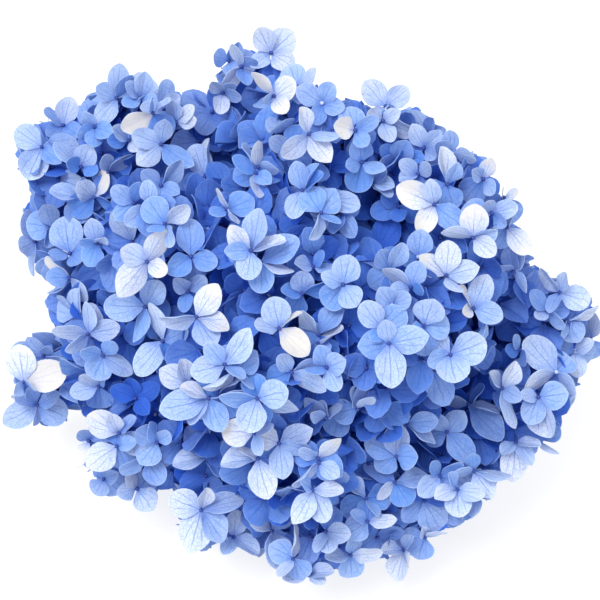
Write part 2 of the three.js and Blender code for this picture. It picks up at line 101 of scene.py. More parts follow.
# Florets that the photograph shows, read one by one. First the pixel of the middle and how far it
# stands out in millimetres, then for each sepal the pixel of its tip, its width in pixels and
# its tone, from 0, blue, over 0.5, faded, to 1, cream.
SEEN = [
    ((41, 146, 7), (16, 128, 24, 0.3), (26, 178, 28, 0.3), (77, 144, 20, 0.2), (60, 163, 16, 0)),
    ((63, 124, 3), (70, 97, 21, 0.45), (44, 111, 12, 0.1), (82, 139, 18, 0), (48, 137, 14, 0.05)),
    ((81, 167, 5), (90, 146, 22, 0.4), (55, 143, 10, 0.3), (66, 163, 16, 0), (97, 172, 14, 0)),
    ((117, 98, 3), (121, 64, 14, 0.3), (98, 87, 18, 0.2), (131, 75, 10, 0.1), (96, 122, 22, 0.3)),
    ((140, 97, 3), (146, 73, 14, 0.25), (128, 84, 12, 0.2), (124, 106, 12, 0),
     (158, 104, 14, 0.1)),
    ((96, 127, 3), (116, 134, 18, 0), (88, 115, 10, 0.15), (96, 150, 14, 0), (80, 136, 10, 0)),
    ((153, 113, 9), (124, 132, 15, 1), (172, 104, 8, 0.3), (150, 100, 6, 0.2)),
    ((128, 140, 5), (112, 128, 12, 0.4), (138, 148, 14, 0.6), (108, 140, 14, 0)),
    ((161, 144, 8), (133, 133, 19, 0.4), (165, 118, 18, 0.35), (137, 164, 22, 0.5),
     (190, 169, 18, 0.15)),
    ((164, 108, 3), (167, 80, 16, 0.2), (143, 108, 16, 0.35), (180, 96, 14, 0.35)),
    ((176, 122, 4), (193, 108, 14, 0.55), (196, 120, 14, 0.55), (172, 98, 12, 0.3)),
    ((221, 94, 5), (208, 84, 10, 0.4), (216, 116, 15, 0.5), (230, 87, 8, 0.15),
     (238, 100, 8, 0.1)),
    ((228, 60, 2), (213, 56, 18, 0), (234, 78, 14, 0.05), (240, 44, 10, 0.05)),
    ((241, 66, 6), (234, 44, 11, 0.45), (224, 89, 11, 0.55), (258, 58, 12, 0.1),
     (246, 86, 12, 0)),
    ((271, 52, 4), (258, 28, 22, 0.5), (293, 31, 27, 0.45), (253, 65, 16, 0.25),
     (293, 67, 22, 0.45)),
    ((274, 96, 9), (255, 71, 9, 0.85), (297, 84, 24, 0.7), (289, 116, 17, 0.8),
     (266, 102, 6, 0.3)),
    ((309, 134, 8), (299, 109, 12, 0.65), (284, 158, 17, 0.55), (331, 161, 19, 0.7),
     (339, 138, 9, 0.3)),
    ((355, 130, 7), (331, 126, 21, 0.85), (366, 148, 14, 0.05), (376, 119, 14, 0.1)),
    ((322, 102, 3), (297, 88, 20, 0.15), (331, 84, 19, 0.1), (316, 124, 14, 0),
     (344, 110, 16, 0.1)),
    ((298, 86, 2), (318, 72, 13, 0.35), (300, 104, 14, 0.1)),
    ((387, 105, 6), (365, 81, 24, 0.35), (408, 88, 21, 0.35), (394, 113, 6, 0.1),
     (378, 112, 6, 0.2)),
    ((426, 132, 2), (404, 111, 20, 0.25), (440, 128, 12, 0.2), (430, 116, 10, 0.1)),
    ((384, 120, 3), (365, 113, 16, 0.45), (390, 142, 15, 0.35), (415, 132, 13, 0.45),
     (398, 112, 14, 0.4)),
    ((424, 148, 4), (413, 126, 17, 0.35), (441, 134, 14, 0.3), (436, 160, 12, 0.2)),
    ((418, 174, 4), (402, 163, 15, 0.35), (433, 166, 15, 0.4), (402, 181, 11, 0.3)),
    ((398, 206, 1), (371, 212, 20, 0.05), (384, 196, 14, 0.05), (400, 222, 16, 0)),
    ((452, 153, 3), (449, 131, 15, 0.15), (477, 159, 12, 0.3), (437, 142, 12, 0.1)),
    ((447, 184, 4), (437, 148, 13, 0.6), (458, 164, 10, 0.2)),
    ((362, 162, 4), (357, 138, 22, 0.2), (345, 166, 14, 0.15), (383, 172, 12, 0.2)),
    ((396, 160, 2), (403, 141, 22, 0.15), (380, 147, 16, 0), (421, 156, 14, 0),
     (374, 166, 13, 0.2)),
    ((434, 204, 8), (397, 187, 24, 0.85), (431, 180, 15, 0.45), (420, 232, 18, 0.9),
     (462, 227, 22, 0.15)),
    ((473, 237, 9), (475, 204, 27, 0.8), (495, 254, 20, 0.65), (443, 227, 10, 0.55),
     (496, 231, 12, 0.3)),
    ((446, 275, 8), (450, 240, 24, 0.7), (419, 256, 20, 0.8), (479, 267, 22, 0.5),
     (457, 296, 12, 0.5)),
    ((472, 308, 8), (487, 275, 20, 0.45), (459, 314, 12, 0.85), (500, 318, 22, 0.3),
     (459, 286, 9, 0.8)),
    ((373, 183, 5), (346, 172, 24, 0.3), (391, 195, 10, 0.4), (392, 183, 8, 0.3),
     (384, 169, 12, 0.2)),
    ((328, 199, 5), (311, 214, 14, 0.4), (360, 206, 20, 0.35), (322, 229, 10, 0.2),
     (316, 192, 10, 0.4)),
    ((302, 190, 6), (295, 162, 19, 0.25), (289, 218, 18, 0.35), (316, 164, 9, 0.1),
     (323, 176, 12, 0)),
    ((251, 250, 9), (229, 228, 14, 0.75), (261, 209, 20, 0.35), (226, 250, 16, 0.2),
     (286, 243, 12, 0.6), (247, 279, 24, 0.4)),
    ((261, 261, 5), (262, 291, 24, 0.15), (299, 240, 22, 0.2), (292, 274, 6, 0.6),
     (238, 266, 14, 0.1)),
    ((302, 293, 5), (301, 270, 22, 0.35), (326, 281, 12, 0), (281, 288, 10, 0.05)),
    ((313, 266, 3), (293, 263, 12, 0.35), (338, 268, 8, 0.25), (322, 252, 10, 0.05)),
    ((191, 256, 5), (189, 219, 26, 0.2), (168, 272, 22, 0.1), (216, 264, 20, 0.15)),
    ((188, 291, 4), (174, 277, 16, 0.4), (205, 275, 16, 0.35), (183, 308, 12, 0.1)),
    ((147, 261, 9), (121, 248, 22, 0.55), (165, 229, 19, 0.8), (168, 272, 18, 0.85),
     (116, 293, 24, 0.75)),
    ((150, 205, 6), (148, 184, 16, 0.3), (128, 226, 14, 0.3), (153, 238, 28, 0.15),
     (178, 203, 18, 0.15)),
    ((134, 203, 3), (114, 190, 18, 0.25), (118, 222, 20, 0.15), (140, 184, 12, 0.1)),
    ((71, 255, 7), (63, 218, 32, 0.25), (95, 248, 18, 0.05), (84, 268, 18, 0.1),
     (52, 258, 12, 0.1)),
    ((69, 277, 4), (45, 258, 9, 0.75), (50, 278, 20, 0.05), (88, 300, 9, 0.35)),
    ((35, 241, 3), (26, 209, 15, 0.2), (20, 247, 20, 0.25), (28, 276, 9, 0.2)),
    ((53, 227, 2), (45, 202, 20, 0.2), (48, 244, 12, 0.05)),
    ((97, 243, 5), (94, 219, 19, 0.35), (108, 236, 8, 0.5), (84, 240, 10, 0.1)),
    ((95, 206, 4), (71, 204, 7, 0.5), (104, 222, 14, 0), (80, 216, 14, 0)),
    ((80, 197, 4), (50, 194, 12, 0.35), (84, 180, 12, 0.1)),
    ((94, 197, 7), (108, 169, 10, 0.95), (78, 184, 20, 0.45), (112, 200, 8, 0)),
    ((108, 172, 5), (133, 154, 9, 0.5), (108, 154, 9, 0.4)),
    ((205, 176, 6), (194, 144, 24, 0.4), (216, 176, 12, 0.2), (211, 211, 21, 0.15)),
    ((205, 176, 2), (212, 140, 7, 0.6), (184, 190, 14, 0.1)),
    ((161, 184, 4), (182, 160, 10, 0.3), (143, 172, 16, 0.3), (178, 194, 14, 0.2),
     (156, 196, 12, 0.2)),
    ((258, 167, 7), (257, 143, 11, 0.7), (242, 146, 8, 0.3), (279, 172, 8, 0.3)),
    ((256, 173, 5), (258, 200, 12, 0.6), (232, 160, 14, 0.05), (271, 186, 14, 0.15)),
    ((288, 150, 5), (271, 137, 17, 0.35), (282, 158, 12, 0)),
    ((227, 209, 6), (219, 190, 8, 0.7), (238, 222, 6, 0.5), (212, 216, 12, 0.1)),
    ((165, 224, 5), (188, 207, 14, 0.6), (174, 246, 12, 0.3), (150, 232, 10, 0.1)),
    ((341, 213, 4), (353, 237, 14, 0.2), (332, 236, 12, 0.1)),
    ((320, 213, 5), (309, 240, 12, 0.4), (336, 226, 10, 0.1)),
    ((344, 285, 6), (352, 257, 27, 0.35), (326, 277, 16, 0.3), (360, 309, 24, 0.35)),
    ((392, 305, 4), (380, 289, 20, 0.3), (410, 296, 18, 0.3)),
    ((418, 257, 5), (420, 232, 24, 0.25), (398, 262, 14, 0.1)),
    ((411, 286, 6), (385, 266, 8, 0.5), (389, 292, 16, 0.35), (420, 262, 20, 0.25),
     (424, 290, 10, 0)),
    ((390, 270, 3), (404, 245, 14, 0.3), (378, 250, 20, 0.2)),
    ((424, 325, 6), (432, 297, 30, 0.4), (412, 330, 14, 0.1)),
    ((484, 178, 3), (491, 159, 15, 0.65), (470, 170, 14, 0.2), (493, 194, 10, 0.15)),
    ((492, 213, 4), (516, 206, 18, 0.3), (486, 200, 14, 0.3), (504, 224, 10, 0.1)),
    ((508, 227, 5), (529, 253, 20, 0.65), (511, 210, 8, 0.6), (494, 222, 10, 0.3)),
    ((504, 197, 1), (516, 193, 10, 0.6), (500, 190, 6, 0.9)),
    ((513, 271, 4), (507, 244, 14, 0.15), (522, 250, 9, 0.4), (496, 262, 10, 0.2),
     (528, 288, 9, 0.2)),
    ((560, 292, 5), (566, 274, 9, 0.35), (590, 302, 24, 0.35), (541, 269, 10, 0.4),
     (549, 310, 12, 0.1)),
    ((548, 311, 3), (529, 292, 14, 0.1), (562, 328, 9, 0.15), (536, 318, 9, 0.3)),
    ((569, 322, 4), (599, 306, 7, 0.55), (558, 334, 10, 0.1)),
    ((592, 340, 2), (598, 314, 8, 0.5), (578, 354, 14, 0.45)),
    ((575, 352, 5), (546, 338, 18, 0.1), (577, 375, 20, 0.4), (590, 338, 12, 0.4)),
    ((556, 372, 6), (527, 338, 28, 0.35), (578, 393, 9, 0.35), (521, 388, 12, 0.5)),
    ((539, 397, 7), (567, 393, 27, 0.15), (528, 424, 24, 0.2), (549, 438, 20, 0.5),
     (522, 394, 12, 0.3)),
    ((520, 350, 4), (513, 338, 9, 0.2), (526, 366, 7, 0.2), (506, 352, 14, 0)),
    ((502, 388, 8), (516, 362, 13, 0.65), (519, 398, 16, 0.3), (488, 374, 9, 0.55),
     (514, 428, 9, 0.45)),
    ((468, 404, 5), (434, 398, 14, 0.35), (497, 415, 7, 0.45), (499, 441, 20, 0.2),
     (484, 386, 10, 0)),
    ((447, 432, 6), (464, 413, 21, 0.25), (472, 460, 22, 0.2), (434, 417, 13, 0.3)),
    ((407, 423, 4), (437, 420, 18, 0.2), (434, 444, 9, 0.35), (393, 404, 8, 0.3)),
    ((395, 454, 6), (393, 420, 24, 0.45), (365, 437, 23, 0.2), (414, 452, 24, 0.15)),
    ((326, 418, 4), (339, 408, 8, 0.4), (322, 402, 7, 0.35), (306, 398, 10, 0.3),
     (312, 416, 8, 0.3)),
    ((340, 412, 1), (338, 390, 12, 0.1), (353, 404, 12, 0.05)),
    ((357, 410, 5), (373, 396, 9, 0.45), (366, 378, 13, 0.3), (352, 386, 8, 0.3)),
    ((450, 354, 9), (424, 331, 22, 0.45), (487, 342, 31, 0.4), (452, 382, 32, 0.4),
     (425, 362, 18, 0.2)),
    ((389, 343, 9), (384, 318, 18, 0.35), (428, 334, 27, 0.3), (391, 387, 29, 0.45)),
    ((382, 328, 6), (362, 303, 24, 0.4), (372, 340, 14, 0.05)),
    ((279, 328, 8), (273, 298, 28, 0.4), (254, 325, 15, 0.4), (308, 354, 23, 1),
     (300, 313, 7, 0.9)),
    ((317, 343, 6), (343, 327, 9, 0.75), (330, 350, 8, 0.2)),
    ((318, 334, 5), (301, 314, 9, 0.5), (338, 304, 16, 0.2)),
    ((328, 366, 5), (348, 358, 22, 0.3), (322, 346, 18, 0.2), (342, 388, 16, 0.3),
     (308, 372, 9, 0.1)),
    ((292, 372, 6), (278, 354, 15, 0.35), (325, 361, 13, 0.4), (327, 387, 17, 0.35)),
    ((225, 364, 9), (253, 331, 21, 0.45), (191, 372, 26, 0.45), (207, 344, 16, 0.3),
     (244, 376, 8, 0.2)),
    ((236, 370, 6), (204, 388, 8, 0.7), (252, 388, 8, 0.2)),
    ((197, 317, 9), (218, 285, 23, 0.8), (160, 320, 12, 0.5), (230, 325, 13, 0.75),
     (216, 345, 26, 0.4)),
    ((188, 384, 6), (161, 368, 24, 0.65), (182, 358, 13, 0.6)),
    ((163, 341, 7), (136, 374, 25, 0.4), (154, 302, 15, 0.5), (190, 330, 18, 0.2),
     (172, 362, 10, 0)),
    ((145, 306, 6), (105, 305, 28, 0.3), (139, 342, 14, 0.15), (160, 280, 24, 0.3)),
    ((88, 334, 5), (52, 332, 16, 0.4), (90, 302, 12, 0.3), (119, 326, 20, 0.35),
     (66, 350, 12, 0.3)),
    ((103, 355, 5), (82, 348, 14, 0.1), (131, 374, 17, 0.3), (116, 338, 14, 0.1)),
    ((99, 386, 4), (81, 371, 14, 0.4), (71, 392, 14, 0.3), (104, 368, 12, 0.1)),
    ((24, 382, 20), (18, 345, 29, 0.6), (67, 369, 30, 1), (19, 393, 5, 0.2), (38, 388, 6, 0.2)),
    ((37, 406, 2), (3, 424, 25, 0.3), (66, 418, 28, 0.2), (15, 399, 9, 0.2), (28, 388, 12, 0.1),
     (60, 394, 14, 0.1)),
    ((44, 356, -5), (31, 337, 18, 0.2), (76, 368, 10, 0.15), (52, 346, 10, 0.1)),
    ((119, 433, 7), (88, 416, 26, 0.65), (112, 413, 16, 0.5), (147, 452, 18, 0.35),
     (138, 420, 12, 0.15)),
    ((117, 446, 7), (88, 467, 27, 0.6), (134, 440, 10, 0.1)),
    ((88, 441, 3), (76, 466, 15, 0.75), (80, 430, 14, 0.1)),
    ((146, 460, 5), (120, 469, 14, 0.15), (175, 454, 16, 0.25), (161, 482, 22, 0.15),
     (124, 439, 20, 0.25)),
    ((157, 442, 3), (137, 426, 22, 0.15), (172, 430, 15, 0.2), (150, 420, 10, 0.1)),
    ((137, 398, -5), (113, 388, 18, 0), (132, 378, 16, 0), (162, 386, 18, 0), (152, 414, 14, 0)),
    ((209, 397, 6), (161, 411, 25, 0.35), (188, 421, 13, 0.4), (222, 430, 24, 0.2),
     (252, 389, 9, 0.2),
     (181, 389, 9, 0.75)),
    ((218, 396, 8), (252, 370, 9, 0.55)),
    ((257, 397, 8), (287, 388, 27, 0.35), (246, 430, 28, 0.45), (220, 398, 14, 0.15)),
    ((262, 402, 5), (298, 410, 15, 0.4)),
    ((254, 432, 8), (223, 430, 28, 0.8), (262, 452, 12, 0.3), (272, 424, 8, 0.5)),
    ((279, 443, 9), (256, 434, 22, 0.8), (312, 429, 20, 0.45), (309, 452, 16, 0.3),
     (284, 478, 22, 0.4)),
    ((209, 457, 6), (189, 426, 26, 0.25), (173, 463, 17, 0.45), (236, 444, 16, 0.2),
     (220, 476, 12, 0.1)),
    ((258, 458, 7), (221, 463, 15, 0.55), (268, 498, 26, 0.65), (244, 448, 8, 0.75)),
    ((318, 458, 7), (339, 437, 14, 0.75), (300, 448, 12, 0.3)),
    ((318, 462, 6), (293, 486, 9, 0.5), (338, 476, 17, 0.4)),
    ((312, 489, 8), (296, 523, 20, 0.55), (325, 521, 21, 0.5), (342, 487, 11, 0.65),
     (300, 478, 8, 0.2)),
    ((201, 510, 9), (169, 498, 28, 0.5), (190, 552, 32, 0.5), (205, 486, 13, 0.6),
     (242, 498, 16, 0.3),
     (226, 539, 18, 0.2)),
    ((234, 538, 5), (237, 512, 22, 0.35), (260, 554, 15, 0.3), (224, 550, 14, 0.2)),
    ((271, 531, 6), (291, 503, 22, 0.3), (248, 515, 10, 0.6), (286, 563, 13, 0.45),
     (273, 569, 10, 0.3)),
    ((294, 557, 4), (299, 523, 7, 0.6), (282, 574, 10, 0.4)),
    ((326, 531, 5), (351, 533, 20, 0.4), (330, 553, 20, 0.4), (316, 548, 12, 0.3)),
    ((310, 572, 2), (284, 574, 12, 0.5), (334, 568, 12, 0.35), (324, 580, 10, 0.4)),
    ((351, 556, 4), (383, 556, 17, 0.45), (326, 557, 10, 0.3), (356, 534, 14, 0.1)),
    ((367, 521, 6), (395, 519, 11, 0.6), (352, 512, 12, 0.15)),
    ((395, 482, 5), (366, 462, 18, 0.2), (428, 474, 12, 0.3), (378, 497, 10, 0.6)),
    ((378, 480, 4), (350, 466, 14, 0.25), (383, 508, 19, 0.3)),
    ((366, 498, 4), (342, 480, 12, 0.35), (376, 514, 8, 0.2)),
    ((404, 548, 6), (397, 580, 17, 0.5), (411, 562, 9, 0.65), (383, 546, 8, 0.4),
     (414, 532, 10, 0.2)),
    ((425, 538, 1), (446, 527, 9, 0.4), (424, 526, 10, 0.3)),
    ((457, 489, 7), (434, 496, 13, 0.45), (458, 515, 25, 0.4), (483, 494, 16, 0.4),
     (446, 474, 10, 0.1)),
    ((475, 495, 3), (474, 517, 12, 0.3), (488, 500, 8, 0.2)),
    ((474, 471, 6), (510, 480, 8, 0.35), (492, 497, 23, 0.45), (451, 473, 8, 0.2),
     (470, 452, 14, 0)),
    ((440, 476, 4), (419, 496, 20, 0.35), (462, 466, 12, 0.1), (430, 462, 12, 0.1)),
    ((516, 443, 5), (512, 483, 24, 0.6), (532, 464, 14, 0.3), (540, 444, 9, 0.4),
     (502, 452, 9, 0.2)),
    ((540, 441, 1), (555, 456, 5, 0.4), (528, 452, 10, 0.1)),
    ((103, 480, 3), (96, 492, 20, 0.2), (118, 472, 14, 0.1)),
    ((137, 490, 4), (126, 468, 12, 0.55), (154, 510, 25, 0.35), (120, 492, 16, 0.25)),
]

# Hollows between the sprays, given painted shade: the pixel of the middle and the radius in
# pixels.
HOLLOWS = np.array([
    (145, 387, 34), (165, 420, 24), (234, 306, 20), (277, 283, 14), (212, 120, 14), (335, 250, 14),
    (388, 212, 18), (386, 155, 14), (332, 402, 20), (342, 435, 20), (350, 458, 16), (411, 364, 14),
    (415, 398, 20), (440, 462, 16), (286, 490, 20), (225, 476, 22), (460, 320, 14), (498, 285, 16),
    (310, 546, 14),
], dtype=float)

# The stem's line from the crown: across, back and up.
STEM_LINE = [(0, -6, 8), (0, 22, -26), (2, 46, -54), (4, 70, -74), (5, 98, -80.6), (5, 132, -80.6)]
STEM_RADIUS = 3.9
STEM_SIDES = 16
BARK_ROOM = 0.05
# Two nodes swell the stem: the step of its path where each sits, and how far it stands out.
STEM_NODES = ((9, 1.1), (19, 0.9))
NODE_SPREAD = 0.8
BRANCH_RADII = (3.4, 2.7, 2.4, 2.3, 2.4)
RAY_RADII = (2.0, 1.6, 1.45, 1.4, 1.35, 1.3)

# Sepals, buds and stalks. A sepal's length and thickness are those of a full-grown one.
SEPAL_LENGTH = 14.2
SEPAL_THICK = 0.3
MOST_SEPALS = 9000
BUD_SIZE = 2.0
TWIG_RADII = (1.1, 0.9, 0.8)
STALK_RADII = (0.6, 0.5, 0.5, 0.75)

# The sprays face away from a point this far below the crown.
SPRAY_ROOT = 30

# How the florets are spread over the sprays' faces and below them: how many spots there are
# to choose from, how far apart the chosen ones are, and how near they come to the outline,
# the back of the head and the floor.
FACE_SPOTS = 900
FACE_SPACING = 11.5
FACE_OVERLAP = 2.0
FACE_TURN = -0.15
FACE_RIM = 3.0
FACE_BACK = -34
FACE_FLOOR = 2.5
INNER_SPOTS = 60000
INNER_BOX = ((-140, -130, 5), (140, 130, 200))
INNER_SPACING = 11.8
INNER_TOP, INNER_BOTTOM = 5, 24
INNER_RIM = 7
INNER_BACK = -30
# A floret in a hollow stands this much deeper.
HOLLOW_DEPTH = 9
# Lines of sight are followed in steps, and a gap is one that passes no sepal near the face.
SIGHT_FIELD, SIGHT_START, SIGHT_END, SIGHT_STEP = 130, 150, 130, 5.0
GAP_DEPTH, GAP_ROOM, GAP_RIM, GAP_BACK, GAP_FLOOR = 9, 13, 5, -24, 6
# Shares of the scattered florets or sepals that are faded, have three sepals or lie flat.
FADED_FLORETS, FADED_SEPALS, THREE_SEPALS, FLAT_FLORETS = 0.1, 0.02, 0.07, 0.7
# What a millimetre beside a spray, a millimetre outside the outline and a corner in the floor
# cost, counted in crossings, and the cost at which the trials of a floret stop.
BESIDE_COST, OUTSIDE_COST, FLOOR_COST = 40, 6, 4
GOOD_ENOUGH, GOOD_ENOUGH_INSIDE = 2, 8
# The heights at which a floret is tried, and how many ways each of its sepals is tried.
SEEN_TRIAL = ((0.0, 1.5, -1.5, -3.0, 3.0), 5)
FACE_TRIAL = ((-2.0, -4.5, -7.0, -9.5), 3)
INNER_TRIAL = ((0.0, -3.0, 3.0), 2)
# A sepal that shows shorter than this is foreshortened. One whose width is less than a share
# of its length is rolled on its side, and its true width is never below the least.
FULL_REACH = 13
THIN_SHARE, THIN_BASE, LEAST_WIDTH = 0.6, 0.66, 0.7
# A sepal may stand this far outside the outline before its floret is moved in.
OUTLINE_PLAY = 1.0
# Painted rim light: sepals this near the outline are painted paler, up to this much.
RIM_LIGHT_REACH = 26
RIM_LIGHT_PALENESS = 0.36

SEED = 20611
chance = random.Random(SEED)


def from_head(x, y, out):
    return CROWN + x * ACROSS + y * UPWARD + out * AXIS


def unit(v):
    return v / np.linalg.norm(v)


def between(low, value, high):
    return min(high, max(low, value))


def project(points):
    """Where points show in the outline's plane, and how much nearer they look."""
    off = points - CROWN
    scale = VIEW_DISTANCE / (VIEW_DISTANCE - off @ AXIS)
    return np.stack([off @ ACROSS * scale, off @ UPWARD * scale], axis=-1), scale


def outside_by(seen):
    """How far points lie outside the outline, negative inside, and the nearest outline point."""
    a, b = np.roll(OUTLINE, 1, axis=0), OUTLINE
    edge = b - a
    along = ((seen[:, None] - a) * edge).sum(-1) / (edge**2).sum(-1)
    near = a + edge * np.clip(along, 0, 1)[..., None]
    gap = np.linalg.norm(seen[:, None] - near, axis=-1)
    best = gap.argmin(axis=1)
    x, y = seen[:, 0, None], seen[:, 1, None]
    # No line across meets a level edge, so its rise only has to differ from nothing.
    rise = np.where(edge[:, 1] == 0, 1e-9, edge[:, 1])
    crosses = ((a[:, 1] > y) != (b[:, 1] > y)) & (x < edge[:, 0] * (y - a[:, 1]) / rise + a[:, 0])
    inside = crosses.sum(axis=1) % 2 == 1
    rows = np.arange(len(seen))
    return np.where(inside, -gap[rows, best], gap[rows, best]), near[rows, best]


def rim_gap(at):
    """How far one place lies outside the outline, negative inside."""
    return outside_by(project(at[None])[0])[0][0]


def even_directions(count):
    """Directions spread evenly over a sphere, along a golden spiral."""
    k = np.arange(count)
    z = 1 - (2 * k + 1) / count
    ring = np.sqrt(1 - z * z)
    turn = k * (math.pi * (3 - math.sqrt(5)))
    return np.stack([ring * np.cos(turn), ring * np.sin(turn), z], axis=1)


class Spray:
    """A bunch of florets: its middle, its radius, its branch and the way it faces."""

    def __init__(self, name, at, radius, branch):
        self.name, self.radius, self.branch = name, radius, branch
        self.centre = from_head(*at)
        self.out = unit(self.centre - (CROWN - SPRAY_ROOT * AXIS))
        self.florets = []

    def hub(self, share):
        """A place on the line from the spray's middle inwards, by a share of its radius."""
        return self.centre - self.out * self.radius * share


sprays = [Spray(name, *facts) for name, facts in SPRAYS.items()]


# ---------------------------------------------------------------- sepals and florets
class Sepal:
    """How one sepal stands: turned about the floret's axis, tilted up, rolled on its own axis.

    It is lifted off the floret's middle, and its angles may play a little.
    """

    def __init__(self, turn, tilt, length, lift, tone, play=0.2, roll=0.0, widen=1.0):
        self.turn, self.tilt, self.length, self.lift = turn, tilt, length, lift
        self.tone, self.play, self.roll, self.widen = tone, play, roll, widen
        self.crowded = 0.0


class Floret:
    """A floret: its middle, the way it faces, how deep in a hollow it is for its painted shade,
    and its sepals.
    """

    def __init__(self, at, normal, depth, fixed=False, inner=False):
        self.at, self.normal, self.depth = at, unit(normal), depth
        self.fixed, self.inner, self.sepals, self.laid = fixed, inner, [], []
        up = UPWARD - (UPWARD @ self.normal) * self.normal
        self.up = unit(up if np.linalg.norm(up) > 0.05 else ACROSS - AXIS)

    def add_sepals(self, spin, size, opening, tones, count):
        """Sepals all round, in two pairs: the second pair is smaller and sits lower."""
        for k in range(count):
            pair = 1.0 if k % 2 == 0 else chance.uniform(0.82, 0.95)
            self.sepals.append(Sepal(
                spin + math.tau * k / count, opening, size * pair * chance.uniform(0.93, 1.06),
                0.35 if k % 2 == 0 else -0.2, tones[k]))

    def matrix(self):
        side = np.cross(self.up, self.normal)
        turn = Matrix((side, self.up, self.normal)).transposed().to_4x4()
        return Matrix.Translation(Vector(self.at)) @ turn


def stray(amount):
    return np.array([chance.gauss(0, amount) for _ in range(3)])


def draw_tones():
    """Most sepals are blue; now and then one, or a whole floret, has lost its colour."""
    faded = chance.random() < FADED_FLORETS
    base = chance.uniform(0.35, 0.6) if faded else chance.uniform(0, 0.35)
    tones = []
    for _ in range(4):
        faded = chance.random() < FADED_SEPALS
        tones.append(chance.uniform(0.6, 1.0) if faded else base + chance.uniform(0, 0.12))
    return tones


def hollow_share(at):
    """How far a place lies in one of the hollows, from 0 to 1."""
    seen = project(at[None])[0][0] / PIXEL * (1, -1) + HEAD_PIXEL
    gaps = np.linalg.norm(HOLLOWS[:, :2] - seen, axis=1) / HOLLOWS[:, 2]
    return between(0.0, 1.5 - 1.5 * gaps.min(), 1.0)


# ---------------------------------------------------------------- where the florets stand
def spots_on_faces():
    """Points all over the outer faces of the sprays."""
    found = []
    outward = even_directions(FACE_SPOTS)
    for number, spray in enumerate(sprays):
        at = spray.centre + outward * spray.radius
        keep = (outward @ spray.out > FACE_TURN) & (at[:, 2] > FACE_FLOOR)
        keep &= (at - CROWN) @ AXIS > FACE_BACK
        for other in sprays:
            if other is not spray:
                reach = other.radius - FACE_OVERLAP
                keep &= np.linalg.norm(at - other.centre, axis=1) > reach
        keep &= outside_by(project(at)[0])[0] < -FACE_RIM
        found += [(number, o, p) for o, p in zip(outward[keep], at[keep])]
    return found


def choose_spread(spots, taken, spacing):
    """Picks spots evenly: each next one is the farthest from those already taken."""
    places = np.array([p for _, _, p in spots])
    far = np.full(len(spots), np.inf)
    for p in taken:
        far = np.minimum(far, np.linalg.norm(places - p, axis=1))
    chosen = []
    while far.max() > spacing:
        best = int(far.argmax())
        chosen.append(spots[best])
        far = np.minimum(far, np.linalg.norm(places - places[best], axis=1))
    return chosen


def pixel_spot(pixel):
    """The spray that shows at a pixel of the photograph, the way out of it, and the place."""
    x = (pixel[0] - HEAD_PIXEL[0]) * PIXEL
    y = (HEAD_PIXEL[1] - pixel[1]) * PIXEL
    ray = unit(from_head(x, y, 0) - EYE)
    best = None
    for number, spray in enumerate(sprays):
        to = spray.centre - EYE
        along = to @ ray
        miss2 = to @ to - along**2
        half2 = spray.radius**2 - miss2
        # A ray that passes just beside a spray meets it at its rim.
        depth = along - math.sqrt(max(half2, 0.0))
        beside = math.sqrt(max(miss2, 0.0)) - spray.radius
        rank = depth + BESIDE_COST * max(beside, 0.0)
        if best is None or rank < best[0]:
            best = (rank, number, EYE + ray * depth)
    _, number, at = best
    return number, unit(at - sprays[number].centre), at


def add_seen_sepals(floret, middle, tips):
    """Sepals that end where the photograph shows them; returns the angles at which they lie."""
    pixel = PIXEL * (VIEW_DISTANCE - (floret.at - CROWN) @ AXIS) / VIEW_DISTANCE
    angles = []
    for lift, (x, y, wide, tone) in zip((0.5, 0.0, 0.25, -0.2, 0.7), tips):
        reach = math.hypot(x - middle[0], y - middle[1]) * pixel
        # One that looks short is foreshortened, and one that looks thin is seen from its edge.
        length = reach if reach > FULL_REACH else 0.6 * reach + 0.4 * FULL_REACH
        angles.append(math.atan2(middle[1] - y, x - middle[0]))
        share = 1.1 * wide * pixel / length
        roll = math.acos(share / THIN_BASE) if share < THIN_SHARE else 0.0
        floret.sepals.append(Sepal(
            angles[-1] - math.pi / 2, math.acos(min(1.0, reach / length)), length,
            lift, tone, 0.05, roll, max(share, LEAST_WIDTH)))
    return angles


def add_unseen_sepals(floret, angles):
    """The sepals that neighbours hide in the photograph: low ones, in the widest gaps."""
    while len(angles) < 4:
        turns = sorted(a % math.tau for a in angles)
        gaps = [((b - a) % math.tau or math.tau, a) for a, b in zip(turns, turns[1:] + turns[:1])]
        widest, start = max(gaps)
        if widest < math.radians(110):
            break
        angles.append(start + (widest / 2 if widest < math.pi else widest / 3))
        floret.sepals.append(Sepal(
            angles[-1] - math.pi / 2, -0.35, chance.uniform(10, 12.5), -0.5,
            chance.uniform(0, 0.2), 0.2))


def place_seen():
    """Sets the florets of the table where the camera sees them, on whatever spray is there."""
    taken = []
    for (x, y, stand), *tips in SEEN:
        number, outward, at = pixel_spot((x, y))
        taken.append(at)
        sight = unit(EYE - at)
        floret = Floret(at + (stand - 1.5) * sight, sight + 0.3 * outward, 0, fixed=True)
        add_unseen_sepals(floret, add_seen_sepals(floret, (x, y), tips))
        # A blue floret of the table that lies in a hollow gets painted shade.
        if max(tone for _, _, _, tone in tips) < 0.1:
            floret.depth = hollow_share(floret.at)
        settle(floret, *SEEN_TRIAL)
        sprays[number].florets.append(floret)
    return taken


